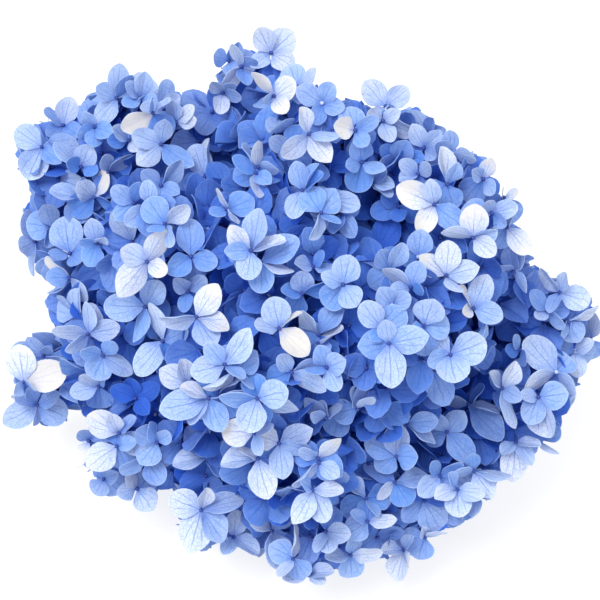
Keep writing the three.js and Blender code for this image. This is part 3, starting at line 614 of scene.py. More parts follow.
def grow_floret(number, at, normal, inner=True):
    """A scattered floret on a spray. In a hollow it stands deeper and gets painted shade: less
    pale, darker blue.
    """
    size = SEPAL_LENGTH * chance.uniform(0.85, 1.05)
    hollow = hollow_share(at)
    floret = Floret(at - HOLLOW_DEPTH * hollow * unit(normal), normal, hollow, inner=inner)
    flat = chance.random() < FLAT_FLORETS
    opening = chance.uniform(-0.1, 0.35) if flat else chance.uniform(0.35, 0.95)
    count = 3 if chance.random() < THREE_SEPALS else 4
    # Painted shade: a floret in a hollow is painted less pale.
    tones = [tone * (1 - 0.7 * hollow) for tone in draw_tones()]
    floret.add_sepals(chance.uniform(0, math.tau), size, opening, tones, count)
    sprays[number].florets.append(floret)
    settle(floret, *(INNER_TRIAL if inner else FACE_TRIAL))


def cover_faces(taken):
    """Florets over the rest of the sprays' outer faces."""
    for number, outward, at in choose_spread(spots_on_faces(), taken, FACE_SPACING):
        spray = sprays[number]
        # The front of the stray spray has only the florets that the photograph shows.
        if spray.name == "spray_11_left_stray" and outward @ AXIS > 0.1:
            continue
        normal = outward + 0.2 * spray.out + 0.15 * AXIS + stray(0.33)
        grow_floret(number, at, normal, inner=False)


def sink_into(points, blend=7.0):
    """How deep points lie below the sprays' blended surface, the way out, and the spray."""
    centres = np.array([spray.centre for spray in sprays])
    away = points[:, None] - centres
    gap = np.linalg.norm(away, axis=-1)
    inside = np.array([spray.radius for spray in sprays]) - gap
    top = inside.max(axis=1, keepdims=True)
    weight = np.exp((inside - top) / blend)
    depth = top[:, 0] + blend * np.log(weight.sum(axis=1))
    out = ((weight / gap)[..., None] * away).sum(axis=1)
    return depth, out, inside.argmax(axis=1)


def fill_inside():
    """Darker florets below the faces and in the valleys between the sprays."""
    scatter = np.random.default_rng(SEED)
    cloud = scatter.uniform(*INNER_BOX, (INNER_SPOTS, 3))
    depth, out, owner = sink_into(cloud)
    keep = (depth > INNER_TOP) & (depth < INNER_BOTTOM)
    keep &= (cloud - CROWN) @ AXIS > INNER_BACK
    keep &= outside_by(project(cloud)[0])[0] < -INNER_RIM
    spots = list(zip(owner[keep], out[keep], cloud[keep]))
    taken = [floret.at for spray in sprays for floret in spray.florets]
    for number, outward, at in choose_spread(spots, taken, INNER_SPACING):
        grow_floret(number, at, unit(outward) + 0.3 * AXIS + stray(0.45))


def clear_view():
    """Takes away scattered florets that hide the ones that the photograph shows."""
    tree = laid.all_together()
    ends = np.cumsum([len(faces) for _, faces in laid.sheets])
    hidden = {}
    for shown, (points, _) in zip(laid.owners, laid.sheets):
        if shown.fixed:
            for point in points:
                face, far = tree.ray_cast(EYE, unit(point - EYE))[2:]
                if face is not None and far < np.linalg.norm(point - EYE) - 1.0:
                    owner = laid.owners[int(np.searchsorted(ends, face, side="right"))]
                    hidden[owner] = hidden.get(owner, 0) + 1
    away = {owner for owner, count in hidden.items() if not owner.fixed and count > 3}
    laid.drop(away)
    for spray in sprays:
        spray.florets = [floret for floret in spray.florets if floret not in away]


def find_gaps(look, eye, grain):
    """Spots below the sprays' faces where a line of sight from that side meets no sepal."""
    across = unit(np.cross(look, (0.3, 0.2, 0.9)))
    rise = np.cross(look, across)
    steps = np.arange(-SIGHT_FIELD, SIGHT_FIELD + 1, grain)
    x, y = (a.ravel()[:, None] for a in np.meshgrid(steps, steps))
    plane = CROWN + 20 * AXIS + x * across + y * rise
    start = plane + (SIGHT_START + 10) * look if eye is None else np.tile(eye, (len(plane), 1))
    ray = plane - start
    ray /= np.linalg.norm(ray, axis=1)[:, None]
    near = ((plane - start) * ray).sum(axis=1) - SIGHT_START
    reach = near[:, None] + np.arange(0, SIGHT_START + SIGHT_END, SIGHT_STEP)
    along = start[:, None] + reach[..., None] * ray[:, None]
    depth, _, owner = sink_into(along.reshape(-1, 3))
    sunk = (depth > GAP_DEPTH).reshape(reach.shape)
    tree = laid.all_together()
    spots = []
    for i in np.flatnonzero(sunk.any(axis=1)):
        j = int(sunk[i].argmax())
        met = tree.ray_cast(start[i], ray[i])[3]
        at = along[i, j]
        in_head = at[2] > GAP_FLOOR and (at - CROWN) @ AXIS > GAP_BACK
        if in_head and (met is None or met > reach[i, j] + GAP_ROOM):
            spots.append((owner[i * len(reach[i]) + j], look, at))
    return spots


def mend_gaps():
    """Florets in the gaps that show from the camera, with a finer grain each time, then from
    the four sides."""
    sides = [(AXIS, EYE, grain) for grain in (3.0, 2.5, 2.0)]
    sides += [(look, None, 6.0) for look in (ACROSS, -ACROSS, UPWARD, -UPWARD)]
    for look, eye, grain in sides:
        gaps = [gap for gap in find_gaps(look, eye, grain) if rim_gap(gap[2]) < -GAP_RIM]
        if gaps:
            for number, outward, at in choose_spread(gaps, [], 2.5 * grain):
                grow_floret(number, at, outward + stray(0.3))


def paint_crowding_shade_and_rim_light():
    """How much of the open air in front of each sepal its neighbours take.

    A crowded sepal gets painted shade, less pale and darker blue, and one near the outline is
    painted paler as rim light.
    """
    tree = laid.all_together()
    rays = even_directions(30)
    for floret in (floret for spray in sprays for floret in spray.florets):
        ahead = rays[rays @ floret.normal > 0.1]
        # Painted rim light: paler towards the outline.
        rim_light = RIM_LIGHT_PALENESS * between(0.0, 1.0 + rim_gap(floret.at) / RIM_LIGHT_REACH, 1.0)
        for sepal, (_, _, points, _) in zip(floret.sepals, floret.laid):
            middle = points.mean(axis=0)
            met = [tree.ray_cast(middle + 2 * ray, ray, 45)[3] is not None for ray in ahead]
            sepal.crowded = sum(met) / len(ahead)
            # A floret of the table gets only the painted rim light; the others are also made less
            # pale by painted shade where crowded.
            if floret.fixed:
                sepal.tone += 0.6 * rim_light
            else:
                sepal.tone = (sepal.tone + rim_light) * (1 - 0.9 * sepal.crowded)


def place_florets():
    cover_faces(place_seen())
    fill_inside()
    clear_view()
    mend_gaps()
    paint_crowding_shade_and_rim_light()


# ---------------------------------------------------------------- shapes
def finish_mesh(bm, name):
    mesh = bpy.data.meshes.new(name)
    bm.to_mesh(mesh)
    bm.free()
    return mesh


class SepalPattern:
    """A sepal one unit long, along +Y, its face to +Z; the sheet is its middle surface.

    It is bent along its length, hollowed or folded across it, twisted and waved, and it may
    end in a point.
    """

    def __init__(self, bend, trough, fold, twist, wave, point, width, cells):
        self.width, self.reach = width, 1.0 + point
        bm = bmesh.new()
        uv = bm.loops.layers.uv.new("Sepal")
        bmesh.ops.create_grid(bm, x_segments=cells, y_segments=cells, size=1.0)
        disc = {}
        for v in bm.verts:
            a, b = v.co.x, v.co.y
            x, y = a * math.sqrt(1 - b * b / 2), b * math.sqrt(1 - a * a / 2)
            disc[v] = (x, y)
            along = 0.5 + 0.5 * y
            # The sepal narrows to half its width at its foot.
            rise = min(1.0, along / 0.34)
            claw = 0.5 + 0.5 * rise * rise * (3 - 2 * rise)
            across = x * 0.5 * width * claw
            along += point * (1 - abs(x)) ** 2 * max(0.0, y) ** 3
            lift = bend * along**2 + trough * (x * x - 0.35) * claw + fold * abs(x) * claw
            lift += twist * x * along + wave * math.sin(5.5 * along + 1.5) * x * abs(x)
            v.co = (across, along, lift)
        for face in bm.faces:
            for loop in face.loops:
                x, y = disc[loop.vert]
                loop[uv].uv = (0.5 + 0.5 * x, 0.5 + 0.5 * y)
        self.points = np.array([v.co for v in bm.verts])
        self.faces = [[v.index for v in face.verts] for face in bm.faces]
        bmesh.ops.solidify(bm, geom=bm.faces[:], thickness=SEPAL_THICK / SEPAL_LENGTH)
        for face in bm.faces:
            face.smooth = True
            face.material_index = 0 if face.normal.z > 0.2 else 1
        for edge in bm.edges:
            edge.smooth = edge.calc_face_angle(0.0) < math.radians(55)
        self.mesh = finish_mesh(bm, "sepal_pattern")


def draw_patterns(count, cells, curl=1.0):
    return [
        SepalPattern(
            bend=curl * chance.uniform(-0.32, 0.42), trough=curl * chance.uniform(-0.1, 0.24),
            fold=curl * chance.choice((0, 0, 0.1, 0.2, -0.12, 0.32)),
            twist=curl * chance.uniform(-0.22, 0.22), wave=chance.uniform(-0.1, 0.1),
            point=chance.uniform(-0.01, 0.1), width=chance.uniform(0.82, 1.0), cells=cells)
        for _ in range(count)]


def shape_bud():
    """The closed bud in the middle of a floret, one unit across."""
    bm = bmesh.new()
    bm.loops.layers.uv.new("Sepal")
    bmesh.ops.create_icosphere(bm, subdivisions=1, radius=0.5)
    bmesh.ops.scale(bm, vec=(1, 1, 0.8), verts=bm.verts)
    for face in bm.faces:
        face.smooth = True
        face.material_index = 3
    return finish_mesh(bm, "bud_pattern")


# Few faces where a shape is repeated by the thousand, more in the florets in front.
OUTER_PATTERNS = draw_patterns(18, 4)
INNER_PATTERNS = draw_patterns(8, 3)
SEEN_PATTERNS = draw_patterns(12, 6, 0.5)
BUD_PATTERN = shape_bud()
SCRATCH = bpy.data.meshes.new("tube_scratch")


def add_copy(bm, pattern, matrix):
    """Adds a placed copy of a pattern mesh; returns its number of faces."""
    corners, faces = len(bm.verts), len(bm.faces)
    bm.from_mesh(pattern)
    bm.verts.ensure_lookup_table()
    bmesh.ops.transform(bm, matrix=matrix, verts=bm.verts[corners:])
    return len(bm.faces) - faces


def ring_frames(path, radii):
    """A frame at each point of a path, turned as little as possible, scaled to the radius."""
    places = []
    heading = (path[1] - path[0]).normalized()
    turn = heading.to_track_quat("Z", "Y")
    for i, point in enumerate(path):
        ahead = path[min(i + 1, len(path) - 1)] - path[max(i - 1, 0)]
        turn = heading.rotation_difference(ahead.normalized()) @ turn
        heading = ahead.normalized()
        scale = Matrix.Diagonal((radii[i], radii[i], radii[i], 1.0))
        places.append(Matrix.Translation(point) @ turn.to_matrix().to_4x4() @ scale)
    return places


def grow_tube(bm, path, radii, sides, paint):
    """A closed tapering tube: a disc drawn out from point to point; returns its face count."""
    places = ring_frames([Vector(p) * MM for p in path], [r * MM for r in radii])
    tube = bmesh.new()
    disc = bmesh.ops.create_circle(
        tube, cap_ends=True, segments=sides, radius=1.0, matrix=places[0])
    tip = disc["verts"][0].link_faces[0]
    for before, after in zip(places, places[1:]):
        grown = bmesh.ops.extrude_face_region(tube, geom=[tip])["geom"]
        tip = next(part for part in grown if isinstance(part, bmesh.types.BMFace))
        bmesh.ops.transform(tube, matrix=after @ before.inverted(), verts=tip.verts)
    bmesh.ops.recalc_face_normals(tube, faces=tube.faces)
    for face in tube.faces:
        face.material_index = paint
        face.smooth = len(face.verts) == 4
    count = len(tube.faces)
    tube.to_mesh(SCRATCH)
    tube.free()
    bm.from_mesh(SCRATCH)
    return count


def curve_between(a, b, start, end, points):
    """A smooth path that leaves a and reaches b in the given directions."""
    reach = np.linalg.norm(b - a)
    c, d = a + start * reach * 0.35, b - end * reach * 0.35
    path = []
    for i in range(points):
        t = i / (points - 1)
        s = 1 - t
        path.append(s**3 * a + 3 * t * s**2 * c + 3 * t * t * s * d + t**3 * b)
    return path


# ---------------------------------------------------------------- how the sepals are laid
class LaidSepals:
    """The sepals laid so far, to find which of them a new one would cross."""

    def __init__(self):
        self.lows, self.highs = np.empty((MOST_SEPALS, 3)), np.empty((MOST_SEPALS, 3))
        self.trees, self.sheets, self.owners = [], [], []

    def crossings(self, points, tree):
        n = len(self.trees)
        near = (self.lows[:n] < points.max(axis=0)) & (self.highs[:n] > points.min(axis=0))
        return sum(len(tree.overlap(self.trees[i])) for i in np.flatnonzero(near.all(axis=1)))

    def add(self, points, tree, faces, owner):
        n = len(self.trees)
        self.lows[n], self.highs[n] = points.min(axis=0), points.max(axis=0)
        self.trees.append(tree)
        self.sheets.append((points, faces))
        self.owners.append(owner)

    def drop(self, florets):
        kept = [i for i, owner in enumerate(self.owners) if owner not in florets]
        self.lows[:len(kept)], self.highs[:len(kept)] = self.lows[kept], self.highs[kept]
        for row in (self.trees, self.sheets, self.owners):
            row[:] = [row[i] for i in kept]

    def all_together(self):
        corners, faces, first = [], [], 0
        for points, rows in self.sheets:
            corners.append(points)
            faces += [[first + i for i in row] for row in rows]
            first += len(points)
        return BVHTree.FromPolygons(np.concatenate(corners).tolist(), faces)


laid = LaidSepals()


def stand_sepal(base, sepal, pattern, fixed):
    """Where one sepal stands on its floret, with a little play in its angles."""
    turn = sepal.turn + chance.uniform(-0.6, 0.6) * sepal.play
    tilt = sepal.tilt + chance.uniform(-1, 1) * sepal.play
    roll = sepal.roll * chance.choice((-1, 1)) + chance.uniform(-0.5, 0.5) * sepal.play
    wide, long = sepal.length * sepal.widen, sepal.length
    if fixed:
        wide, long = wide / pattern.width, long / pattern.reach
    return (
        base @ Matrix.Rotation(turn, 4, "Z")
        @ Matrix.Translation((0, 0.4, sepal.lift))
        @ Matrix.Rotation(tilt, 4, "X") @ Matrix.Rotation(roll, 4, "Y")
        @ Matrix.Diagonal((wide, long, long, 1)))


def try_sepals(floret, tries):
    """Lays each sepal the way that crosses the earlier ones least.

    Returns the number of crossings, the sepals, how far they pass the outline, and the step
    that would bring them back.
    """
    base = floret.matrix()
    chosen, cost, own = [], 0, []
    patterns = OUTER_PATTERNS
    if floret.inner or floret.fixed:
        patterns = INNER_PATTERNS if floret.inner else SEEN_PATTERNS
    for sepal in floret.sepals:
        best = None
        for _ in range(tries):
            pattern = chance.choice(patterns)
            place = stand_sepal(base, sepal, pattern, floret.fixed)
            spread = np.array(place)
            points = pattern.points @ spread[:3, :3].T + spread[:3, 3]
            tree = BVHTree.FromPolygons(points.tolist(), pattern.faces)
            crossed = laid.crossings(points, tree) + sum(len(tree.overlap(t)) for t in own)
            # A sepal isn't to dip into the floor either.
            crossed += FLOOR_COST * int((points[:, 2] < 0.5).sum())
            if best is None or crossed < best[0]:
                best = (crossed, pattern, place, points, tree)
            if crossed == 0:
                break
        cost += best[0]
        own.append(best[4])
        chosen.append(best[1:])
    points = np.concatenate([c[2] for c in chosen])
    seen, scale = project(points)
    gap, near = outside_by(seen)
    worst = int(gap.argmax())
    inward = (near[worst] - seen[worst]) / scale[worst]
    return cost, chosen, max(0.0, gap[worst]), inward


def settle(floret, lifts, tries):
    """Tries a floret at several heights and keeps the one where it crosses least."""
    start, best = floret.at, None
    for lift in lifts:
        floret.at = start + lift * floret.normal
        cost, chosen, beyond, inward = try_sepals(floret, tries)
        if beyond > OUTLINE_PLAY and not floret.fixed:
            for _ in range(2):
                floret.at = floret.at + inward[0] * ACROSS + inward[1] * UPWARD
                cost, chosen, beyond, inward = try_sepals(floret, tries)
                if beyond <= OUTLINE_PLAY:
                    break
        cost += OUTSIDE_COST * max(0.0, beyond - OUTLINE_PLAY)
        if best is None or cost < best[0]:
            best = (cost, floret.at, chosen)
        if cost < (GOOD_ENOUGH_INSIDE if floret.inner else GOOD_ENOUGH):
            break
    _, floret.at, floret.laid = best
    for pattern, _, points, tree in floret.laid:
        laid.add(points, tree, pattern.faces, floret)


# ---------------------------------------------------------------- the pieces
def painted_shade_share(floret, sepal):
    """How much painted shade darkens a sepal, from 0 to 1: more among many neighbours and in a
    hollow, less on a floret of the table, least on a pale sepal of the table."""
    depth = max(0.0, sepal.crowded * 1.2 - 0.27)
    if floret.fixed:
        depth *= 0.5 - 0.4 * sepal.tone
    return min(1.0, max(depth, 0.9 * floret.depth))


def add_floret(bm, floret, tones):
    """Sepals and a bud; notes each one's whiteness, share of painted shade and a random draw."""
    for sepal, (pattern, place, _, _) in zip(floret.sepals, floret.laid):
        faces = add_copy(bm, pattern.mesh, Matrix.Scale(MM, 4) @ place)
        tones.append((faces, (sepal.tone, painted_shade_share(floret, sepal), chance.random())))
    middle = floret.matrix() @ Matrix.Translation((0, 0, 0.9)) @ Matrix.Scale(BUD_SIZE, 4)
    tone = (chance.random(), 0, chance.random())
    tones.append((add_copy(bm, BUD_PATTERN, Matrix.Scale(MM, 4) @ middle), tone))


def branch_out(bm, spray, tones):
    """Stalks from the spray's hub to its florets, by way of a few forks."""
    hub = spray.hub(0.35)
    places = np.array([floret.at for floret in spray.florets])
    forks = [places[0]]
    while len(forks) < max(2, len(places) // 4):
        gaps = np.min([np.linalg.norm(places - fork, axis=1) for fork in forks], axis=0)
        forks.append(places[int(gaps.argmax())])
    for i, fork in enumerate(forks):
        nearest = [
            floret for floret in spray.florets
            if min(range(len(forks)), key=lambda j: np.linalg.norm(floret.at - forks[j])) == i]
        knot = hub + (fork - hub) * 0.45
        heading = unit(knot - hub)
        path = curve_between(hub, knot, unit(spray.out + heading), heading, len(TWIG_RADII))
        tones.append((grow_tube(bm, path, TWIG_RADII, 5, 2), (0, 0, 0)))
        for floret in nearest:
            foot = floret.at - floret.normal * 0.3
            arrive = unit(floret.normal + unit(foot - knot) * 0.8)
            path = curve_between(knot, foot, heading, arrive, len(STALK_RADII))
            tones.append((grow_tube(bm, path, STALK_RADII, 4, 2), (0, 0, 0)))


def rest_on_floor(bm, start=0.9, floor=0.25):
    """Flattens what reaches below a height towards the floor, ever less the lower it gets."""
    room = start - floor
    for v in bm.verts:
        if v.co.z < start * MM:
            v.co.z = floor * MM + room * MM * math.exp((v.co.z / MM - start) / room)


def build_spray(spray):
    bm = bmesh.new()
    bm.loops.layers.uv.new("Sepal")
    tones = []
    for floret in spray.florets:
        add_floret(bm, floret, tones)
    branch_out(bm, spray, tones)
    rest_on_floor(bm)
    mesh = finish_mesh(bm, spray.name)
    per_face = np.repeat([tone for _, tone in tones], [n for n, _ in tones], axis=0)
    corners = np.empty(len(mesh.polygons), dtype=np.int32)
    mesh.polygons.foreach_get("loop_total", corners)
    per_corner = np.repeat(per_face, corners, axis=0)
    tone = mesh.color_attributes.new("ToneAndShade", "FLOAT_COLOR", "CORNER")
    tone.data.foreach_set("color", np.column_stack([per_corner, np.ones(len(per_corner))]).ravel())
    piece = bpy.data.objects.new(spray.name + "_florets", mesh)
    bpy.context.scene.collection.objects.link(piece)
    for paint in (SEPAL_FRONT, SEPAL_REAR, STALK, BUD):
        mesh.materials.append(paint)
    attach(piece, "root")
    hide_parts(spray.name)


def stem_path():
    """The stem's line made smooth, with its radii, nowhere below the floor."""
    line = [CROWN + np.array(p) for p in STEM_LINE]
    path = []
    for i in range(len(line) - 1):
        p0, p1 = line[max(i - 1, 0)], line[i]
        p2, p3 = line[i + 1], line[min(i + 2, len(line) - 1)]
        for t in np.linspace(0, 1, 6, endpoint=i == len(line) - 2):
            path.append(0.5 * (
                2 * p1 + (p2 - p0) * t + (2 * p0 - 5 * p1 + 4 * p2 - p3) * t**2
                + (3 * p1 - p0 - 3 * p2 + p3) * t**3))
    radii = []
    for i, p in enumerate(path):
        swell = sum(out * math.exp(-((i - at) / NODE_SPREAD) ** 2) for at, out in STEM_NODES)
        radii.append(STEM_RADIUS * (0.92 + 0.09 * i / len(path)) + swell)
        p[2] = max(p[2], radii[i] + BARK_ROOM)
    return path, radii


def add_branch(bm, members):
    """A branch from the crown to its fork, and a ray from there to each of its sprays."""
    crown = CROWN + np.array(STEM_LINE[0])
    middle = sum(spray.centre - CROWN for spray in members) / len(members)
    fork = CROWN + 0.38 * middle + 2 * AXIS
    heading = unit(fork - crown)
    path = curve_between(crown - AXIS * 2, fork, unit(AXIS + heading), heading, len(BRANCH_RADII))
    grow_tube(bm, path, BRANCH_RADII, 9, 0)
    for spray in members:
        hub = spray.hub(0.33)
        toward = unit(hub - fork)
        path = curve_between(
            fork - toward * 1.5, hub, unit(heading + toward), unit(toward + spray.out),
            len(RAY_RADII))
        grow_tube(bm, path, RAY_RADII, 7, 0)


def build_stem():
    bm = bmesh.new()
    grow_tube(bm, *stem_path(), STEM_SIDES, 0)
    cut = [face for face in bm.faces if len(face.verts) == STEM_SIDES and face.normal.y > 0.5]
    bmesh.ops.inset_region(bm, faces=cut, thickness=0.8 * MM, depth=-0.3 * MM)
    for name in sorted({spray.branch for spray in sprays}):
        add_branch(bm, [spray for spray in sprays if spray.branch == name])
    mesh = finish_mesh(bm, "stem")
    mesh.materials.append(WOOD)
    piece = bpy.data.objects.new("stem_branched", mesh)
    bpy.context.scene.collection.objects.link(piece)
    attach(piece, "root")
    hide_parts("stem")


# ---------------------------------------------------------------- materials
def colour(red, green, blue):
    """A screen colour, 0 to 1, as the light values that the shader works in."""
    return tuple(
        c / 12.92 if c <= 0.04045 else ((c + 0.055) / 1.055) ** 2.4
        for c in (red, green, blue)) + (1.0,)


SEPAL_BLUE = colour(0.405, 0.63, 0.925)
SEPAL_PALE = colour(0.80, 0.865, 0.95)
SEPAL_FADED = colour(0.90, 0.925, 0.955)
SEPAL_CREAM = colour(0.95, 0.93, 0.88)
SEPAL_FOOT = colour(0.08, 0.35, 0.79)
SEPAL_VEIN = colour(0.11, 0.36, 0.78)
SEPAL_RIM = colour(0.86, 0.92, 0.97)
SEPAL_UNDER = colour(0.71, 0.82, 0.94)
# The painted shade's tint, multiplied into crowded sepals and those in hollows.
HOLLOW_SHADE = colour(0.31, 0.56, 0.89)
SEPAL_GLOW = colour(0.66, 0.79, 0.975)
STALK_NAVY, STALK_LIT = colour(0.13, 0.20, 0.46), colour(0.24, 0.36, 0.66)
BUD_NAVY, BUD_WHITE = colour(0.16, 0.25, 0.56), colour(0.70, 0.77, 0.92)
BARK_DARK, BARK_LIGHT = colour(0.42, 0.40, 0.31), colour(0.62, 0.57, 0.44)
DYED_DARK, DYED_LIGHT = colour(0.13, 0.19, 0.42), colour(0.22, 0.33, 0.60)
BARK_SPECK = colour(0.33, 0.28, 0.22)
CUT_WOOD, CUT_PITH = colour(0.74, 0.71, 0.53), colour(0.89, 0.87, 0.77)
# The middle of the stem's cut end, in metres.
CUT_X, CUT_Y, CUT_Z = 0.00447, 0.12302, 0.00397


class Wire:
    """A node's output that can be added, multiplied and so on, each time with a Math node."""

    def __init__(self, paint, socket):
        self.paint, self.socket = paint, socket

    def math(self, operation, *values):
        node = self.paint.add("ShaderNodeMath", {"operation": operation},
                              dict(enumerate((self, *values))))
        return self.paint.out(node)

    def __add__(self, other):
        return self.math("ADD", other)

    def __sub__(self, other):
        return self.math("SUBTRACT", other)

    def __rsub__(self, other):
        return (self * -1) + other

    def __mul__(self, other):
        return self.math("MULTIPLY", other)

    def __truediv__(self, other):
        return self.math("DIVIDE", other)

    def __pow__(self, other):
        return self.math("POWER", other)

    __radd__, __rmul__ = __add__, __mul__


class Paint:
    """A material's node tree under construction."""

    def __init__(self, name):
        self.material = bpy.data.materials.new(name)
        self.material.use_nodes = True
        self.tree = self.material.node_tree
        self.shader = self.tree.nodes["Principled BSDF"]

    def add(self, kind, settings=None, inputs=None):
        node = self.tree.nodes.new(kind)
        for name, value in (settings or {}).items():
            setattr(node, name, value)
        for name, value in (inputs or {}).items():
            self.plug(node.inputs[name], value)
        return node

    def plug(self, socket, value):
        if isinstance(value, Wire):
            self.tree.links.new(value.socket, socket)
        else:
            socket.default_value = value

    def out(self, node, name=0):
        return Wire(self, node.outputs[name])

    def split(self, kind, value):
        """The three parts of a vector or a colour."""
        node = self.add("ShaderNodeSeparate" + kind, None, {0: value})
        return [self.out(node, n) for n in range(3)]

    def here(self):
        """The place on the piece, in metres."""
        return self.out(self.add("ShaderNodeTexCoord"), "Object")

    def noise(self, vector, scale, detail):
        node = self.add("ShaderNodeTexNoise", None,
                        {"Vector": vector, "Scale": scale, "Detail": detail})
        return self.out(node, "Fac")

    def read_tone_and_shade(self):
        """A sepal's or bud's whiteness, share of painted shade and random draw."""
        tone = self.add("ShaderNodeAttribute", {"attribute_name": "ToneAndShade"})
        return self.split("Color", self.out(tone, "Color"))

    def smooth(self, value, low, high):
        node = self.add("ShaderNodeMapRange", {"interpolation_type": "SMOOTHSTEP"},
                        {"Value": value, "From Min": low, "From Max": high})
        return self.out(node, "Result")

    def blend(self, share, a, b, mode="MIX"):
        node = self.add("ShaderNodeMix", {"data_type": "RGBA", "blend_type": mode},
                        {0: share, 6: a, 7: b})
        return self.out(node, 2)

    def finish(self, base, roughness, height=None, strength=0.0, distance=0.0):
        """Feeds the shader its colour and roughness, and a bump if there is a height."""
        self.plug(self.shader.inputs["Base Color"], base)
        self.plug(self.shader.inputs["Roughness"], roughness)
        if height is not None:
            bump = self.add("ShaderNodeBump", None, {
                "Strength": strength, "Distance": distance, "Height": height})
            self.plug(self.shader.inputs["Normal"], self.out(bump))
        return self.material


def paint_sepal(name, under):
    paint = Paint(name)
    place = paint.add("ShaderNodeUVMap", {"uv_map": "Sepal"})
    u, v, _ = paint.split("XYZ", paint.out(place))
    x, y = u * 2 - 1, v * 2 - 1
    # depth is the sepal's share of painted shade.
    white, depth, draw = paint.read_tone_and_shade()

    # Ribs fan out from the foot beside a spine, with a finer net of veins between them.
    reach = (x * x + y * y) ** 0.5
    shift = paint.out(paint.add("ShaderNodeCombineXYZ", None, {0: x * 0.85, 1: y, 2: draw * 9}))
    patch = paint.noise(shift, 1.6, 3.0)
    fan = x / (y + 1.32) + (patch - 0.5) * 0.22
    ribs = ((fan * 3.5 + 0.5).math("FRACT") - 0.5).math("ABSOLUTE")
    ribs = (1 - paint.smooth(ribs, 0.0, 0.1)) * paint.smooth(reach, 1.05, 0.45)
    spine = (1 - paint.smooth(x.math("ABSOLUTE"), 0.0, 0.05)) * paint.smooth(y, 0.9, -0.4)
    cells = paint.add("ShaderNodeTexVoronoi", {"feature": "DISTANCE_TO_EDGE"},
                      {"Vector": shift, "Scale": 4.8})
    net = 1 - paint.smooth(paint.out(cells, "Distance"), 0.0, 0.08)
    veins = (ribs * 0.85).math("MAXIMUM", spine).math("MAXIMUM", net * 0.5)

    tint = white + (patch - 0.5) * 0.35 + y * 0.2 * white
    light = paint.blend(paint.smooth(tint, -0.15, 0.65), SEPAL_BLUE, SEPAL_PALE)
    faded = paint.blend(paint.smooth(tint, 0.45, 0.8), light, SEPAL_FADED)
    cream = paint.smooth(tint, 0.78, 0.95)
    whole = paint.blend(cream, faded, SEPAL_CREAM)
    foot = paint.smooth(y + patch * 0.3, -0.1, -1.0)
    footed = paint.blend(foot * (0.55 - cream * 0.3), whole, SEPAL_FOOT)
    veined = paint.blend(veins * (0.8 - cream * 0.6), footed, SEPAL_VEIN)
    final = paint.blend(paint.smooth(reach, 0.92, 1.0) * 0.45, veined, SEPAL_RIM)
    if under:
        final = paint.blend(0.3, final, SEPAL_UNDER)
    # Painted shade: crowded sepals and those in hollows are multiplied towards a darker blue.
    final = paint.blend(depth, final, HOLLOW_SHADE, "MULTIPLY")
    paint.shader.inputs["Specular IOR Level"].default_value = 0.25
    paint.finish(final, 0.62 + patch * 0.12, patch * 0.5 - veins * 0.6, 0.35, 0.0004)

    # Some of the light comes through the thin sepal.
    through = paint.add("ShaderNodeBsdfTranslucent", None, {"Color": SEPAL_GLOW})
    mixed = paint.add("ShaderNodeMixShader", None, {0: 0.3})
    paint.tree.links.new(paint.shader.outputs[0], mixed.inputs[1])
    paint.tree.links.new(through.outputs[0], mixed.inputs[2])
    paint.tree.links.new(mixed.outputs[0], paint.tree.nodes["Material Output"].inputs[0])
    return paint.material


def paint_stalk():
    paint = Paint("stalk_navy")
    tint = paint.blend(paint.noise(paint.here(), 160.0, 2.0), STALK_NAVY, STALK_LIT)
    return paint.finish(tint, 0.6)


def paint_bud():
    """Most buds are navy, a few are white."""
    paint = Paint("bud")
    draw, _, _ = paint.read_tone_and_shade()
    return paint.finish(paint.blend(paint.smooth(draw, 0.93, 0.98), BUD_NAVY, BUD_WHITE), 0.5)


def paint_wood():
    """Bark, with the dye of the sepals near the top, and a cut end with a paler pith."""
    paint = Paint("stem_wood")
    here = paint.here()
    x, y, z = paint.split("XYZ", here)
    spots, grain = paint.noise(here, 420.0, 3.0), paint.noise(here, 90.0, 4.0)
    bark = paint.blend(grain, BARK_DARK, BARK_LIGHT)
    dyed = paint.blend(grain, DYED_DARK, DYED_LIGHT)
    bark = paint.blend(paint.smooth(z, 0.035, 0.07), bark, dyed)
    speck = paint.smooth(spots, 0.62, 0.7)
    speckled = paint.blend(speck * 0.6, bark, BARK_SPECK)
    across, above = x - CUT_X, z - CUT_Z
    off = (across * across + above * above) ** 0.5
    cut = paint.smooth(y, CUT_Y - 0.001, CUT_Y - 0.0006)
    wood = paint.blend(paint.smooth(off, 0.0016, 0.0011), CUT_WOOD, CUT_PITH)
    final = paint.blend(cut * paint.smooth(off, 0.0035, 0.0031), speckled, wood)
    return paint.finish(final, 0.7, grain + speck * 0.5, 0.5, 0.0006)


SEPAL_FRONT = paint_sepal("sepal_front", False)
SEPAL_REAR = paint_sepal("sepal_rear", True)
STALK = paint_stalk()
BUD = paint_bud()
WOOD = paint_wood()

place_florets()
for spray in sprays:
    build_spray(spray)
build_stem()
bpy.data.meshes.remove(SCRATCH)


# ---------------------------------------------------------------- floor, light and camera
FLOOR_HALF = 3.0
FLOOR_GREY = 0.3
FLOOR_GLOW = 0.74
STUDIO_LIGHT = 0.87
SENSOR = 36.0


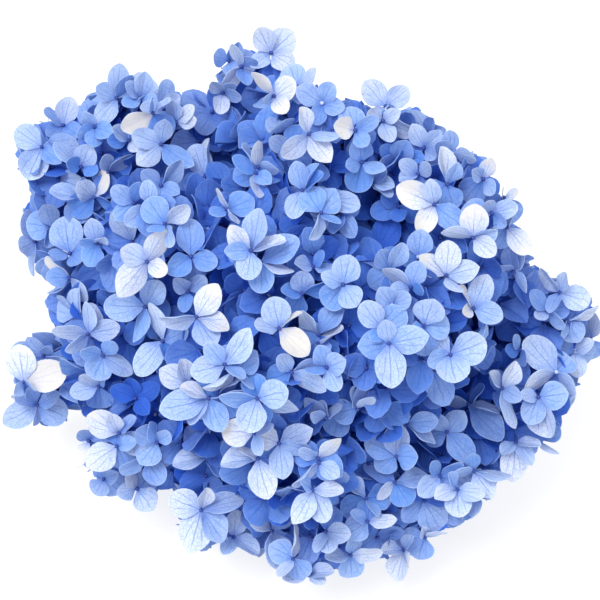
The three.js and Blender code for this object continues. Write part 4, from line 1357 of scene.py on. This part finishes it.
def lay_floor():
    """A white floor that glows faintly, so that it looks as white as the photograph's."""
    bm = bmesh.new()
    bmesh.ops.create_grid(bm, x_segments=2, y_segments=2, size=FLOOR_HALF)
    mesh = finish_mesh(bm, "floor")
    floor = bpy.data.objects.new("floor", mesh)
    bpy.context.scene.collection.objects.link(floor)
    paint = Paint("floor_white")
    paint.shader.inputs["Emission Color"].default_value = (1, 1, 1, 1)
    paint.shader.inputs["Emission Strength"].default_value = FLOOR_GLOW
    mesh.materials.append(paint.finish((FLOOR_GREY, FLOOR_GREY, FLOOR_GREY, 1), 0.9))


def shine(name, toward, width, strength, tint=(1, 1, 1)):
    """A lamp like the sun: its angular width is in degrees."""
    lamp = bpy.data.lights.new(name, "SUN")
    lamp.color = tint
    lamp.angle, lamp.energy = math.radians(width), strength
    thing = bpy.data.objects.new(name, lamp)
    thing.rotation_euler = Vector(toward).normalized().to_track_quat("Z", "Y").to_euler()
    bpy.context.scene.collection.objects.link(thing)


def set_camera():
    data = bpy.data.cameras.new("camera")
    data.sensor_width = SENSOR
    data.lens = SENSOR * VIEW_DISTANCE / (PHOTO_SIDE * PIXEL)
    camera = bpy.data.objects.new("camera", data)
    aim = from_head(0, (HEAD_PIXEL[1] - PHOTO_SIDE / 2) * PIXEL, 0)
    place = Matrix((ACROSS, UPWARD, AXIS)).transposed().to_4x4()
    camera.matrix_world = Matrix.Translation(Vector(aim + VIEW_DISTANCE * AXIS) * MM) @ place
    bpy.context.scene.collection.objects.link(camera)
    bpy.context.scene.camera = camera


lay_floor()
set_camera()
shine("key", (-0.35, -0.25, 1.0), 32, 2.6, (1, 0.985, 0.945))
shine("fill", (0.5, -0.7, 0.8), 80, 0.5)
world = bpy.data.worlds.new("studio")
world.use_nodes = True
world.node_tree.nodes["Background"].inputs[0].default_value = (1, 1, 1, 1)
world.node_tree.nodes["Background"].inputs[1].default_value = STUDIO_LIGHT
bpy.context.scene.world = world
bpy.context.scene.view_settings.view_transform = "Standard"
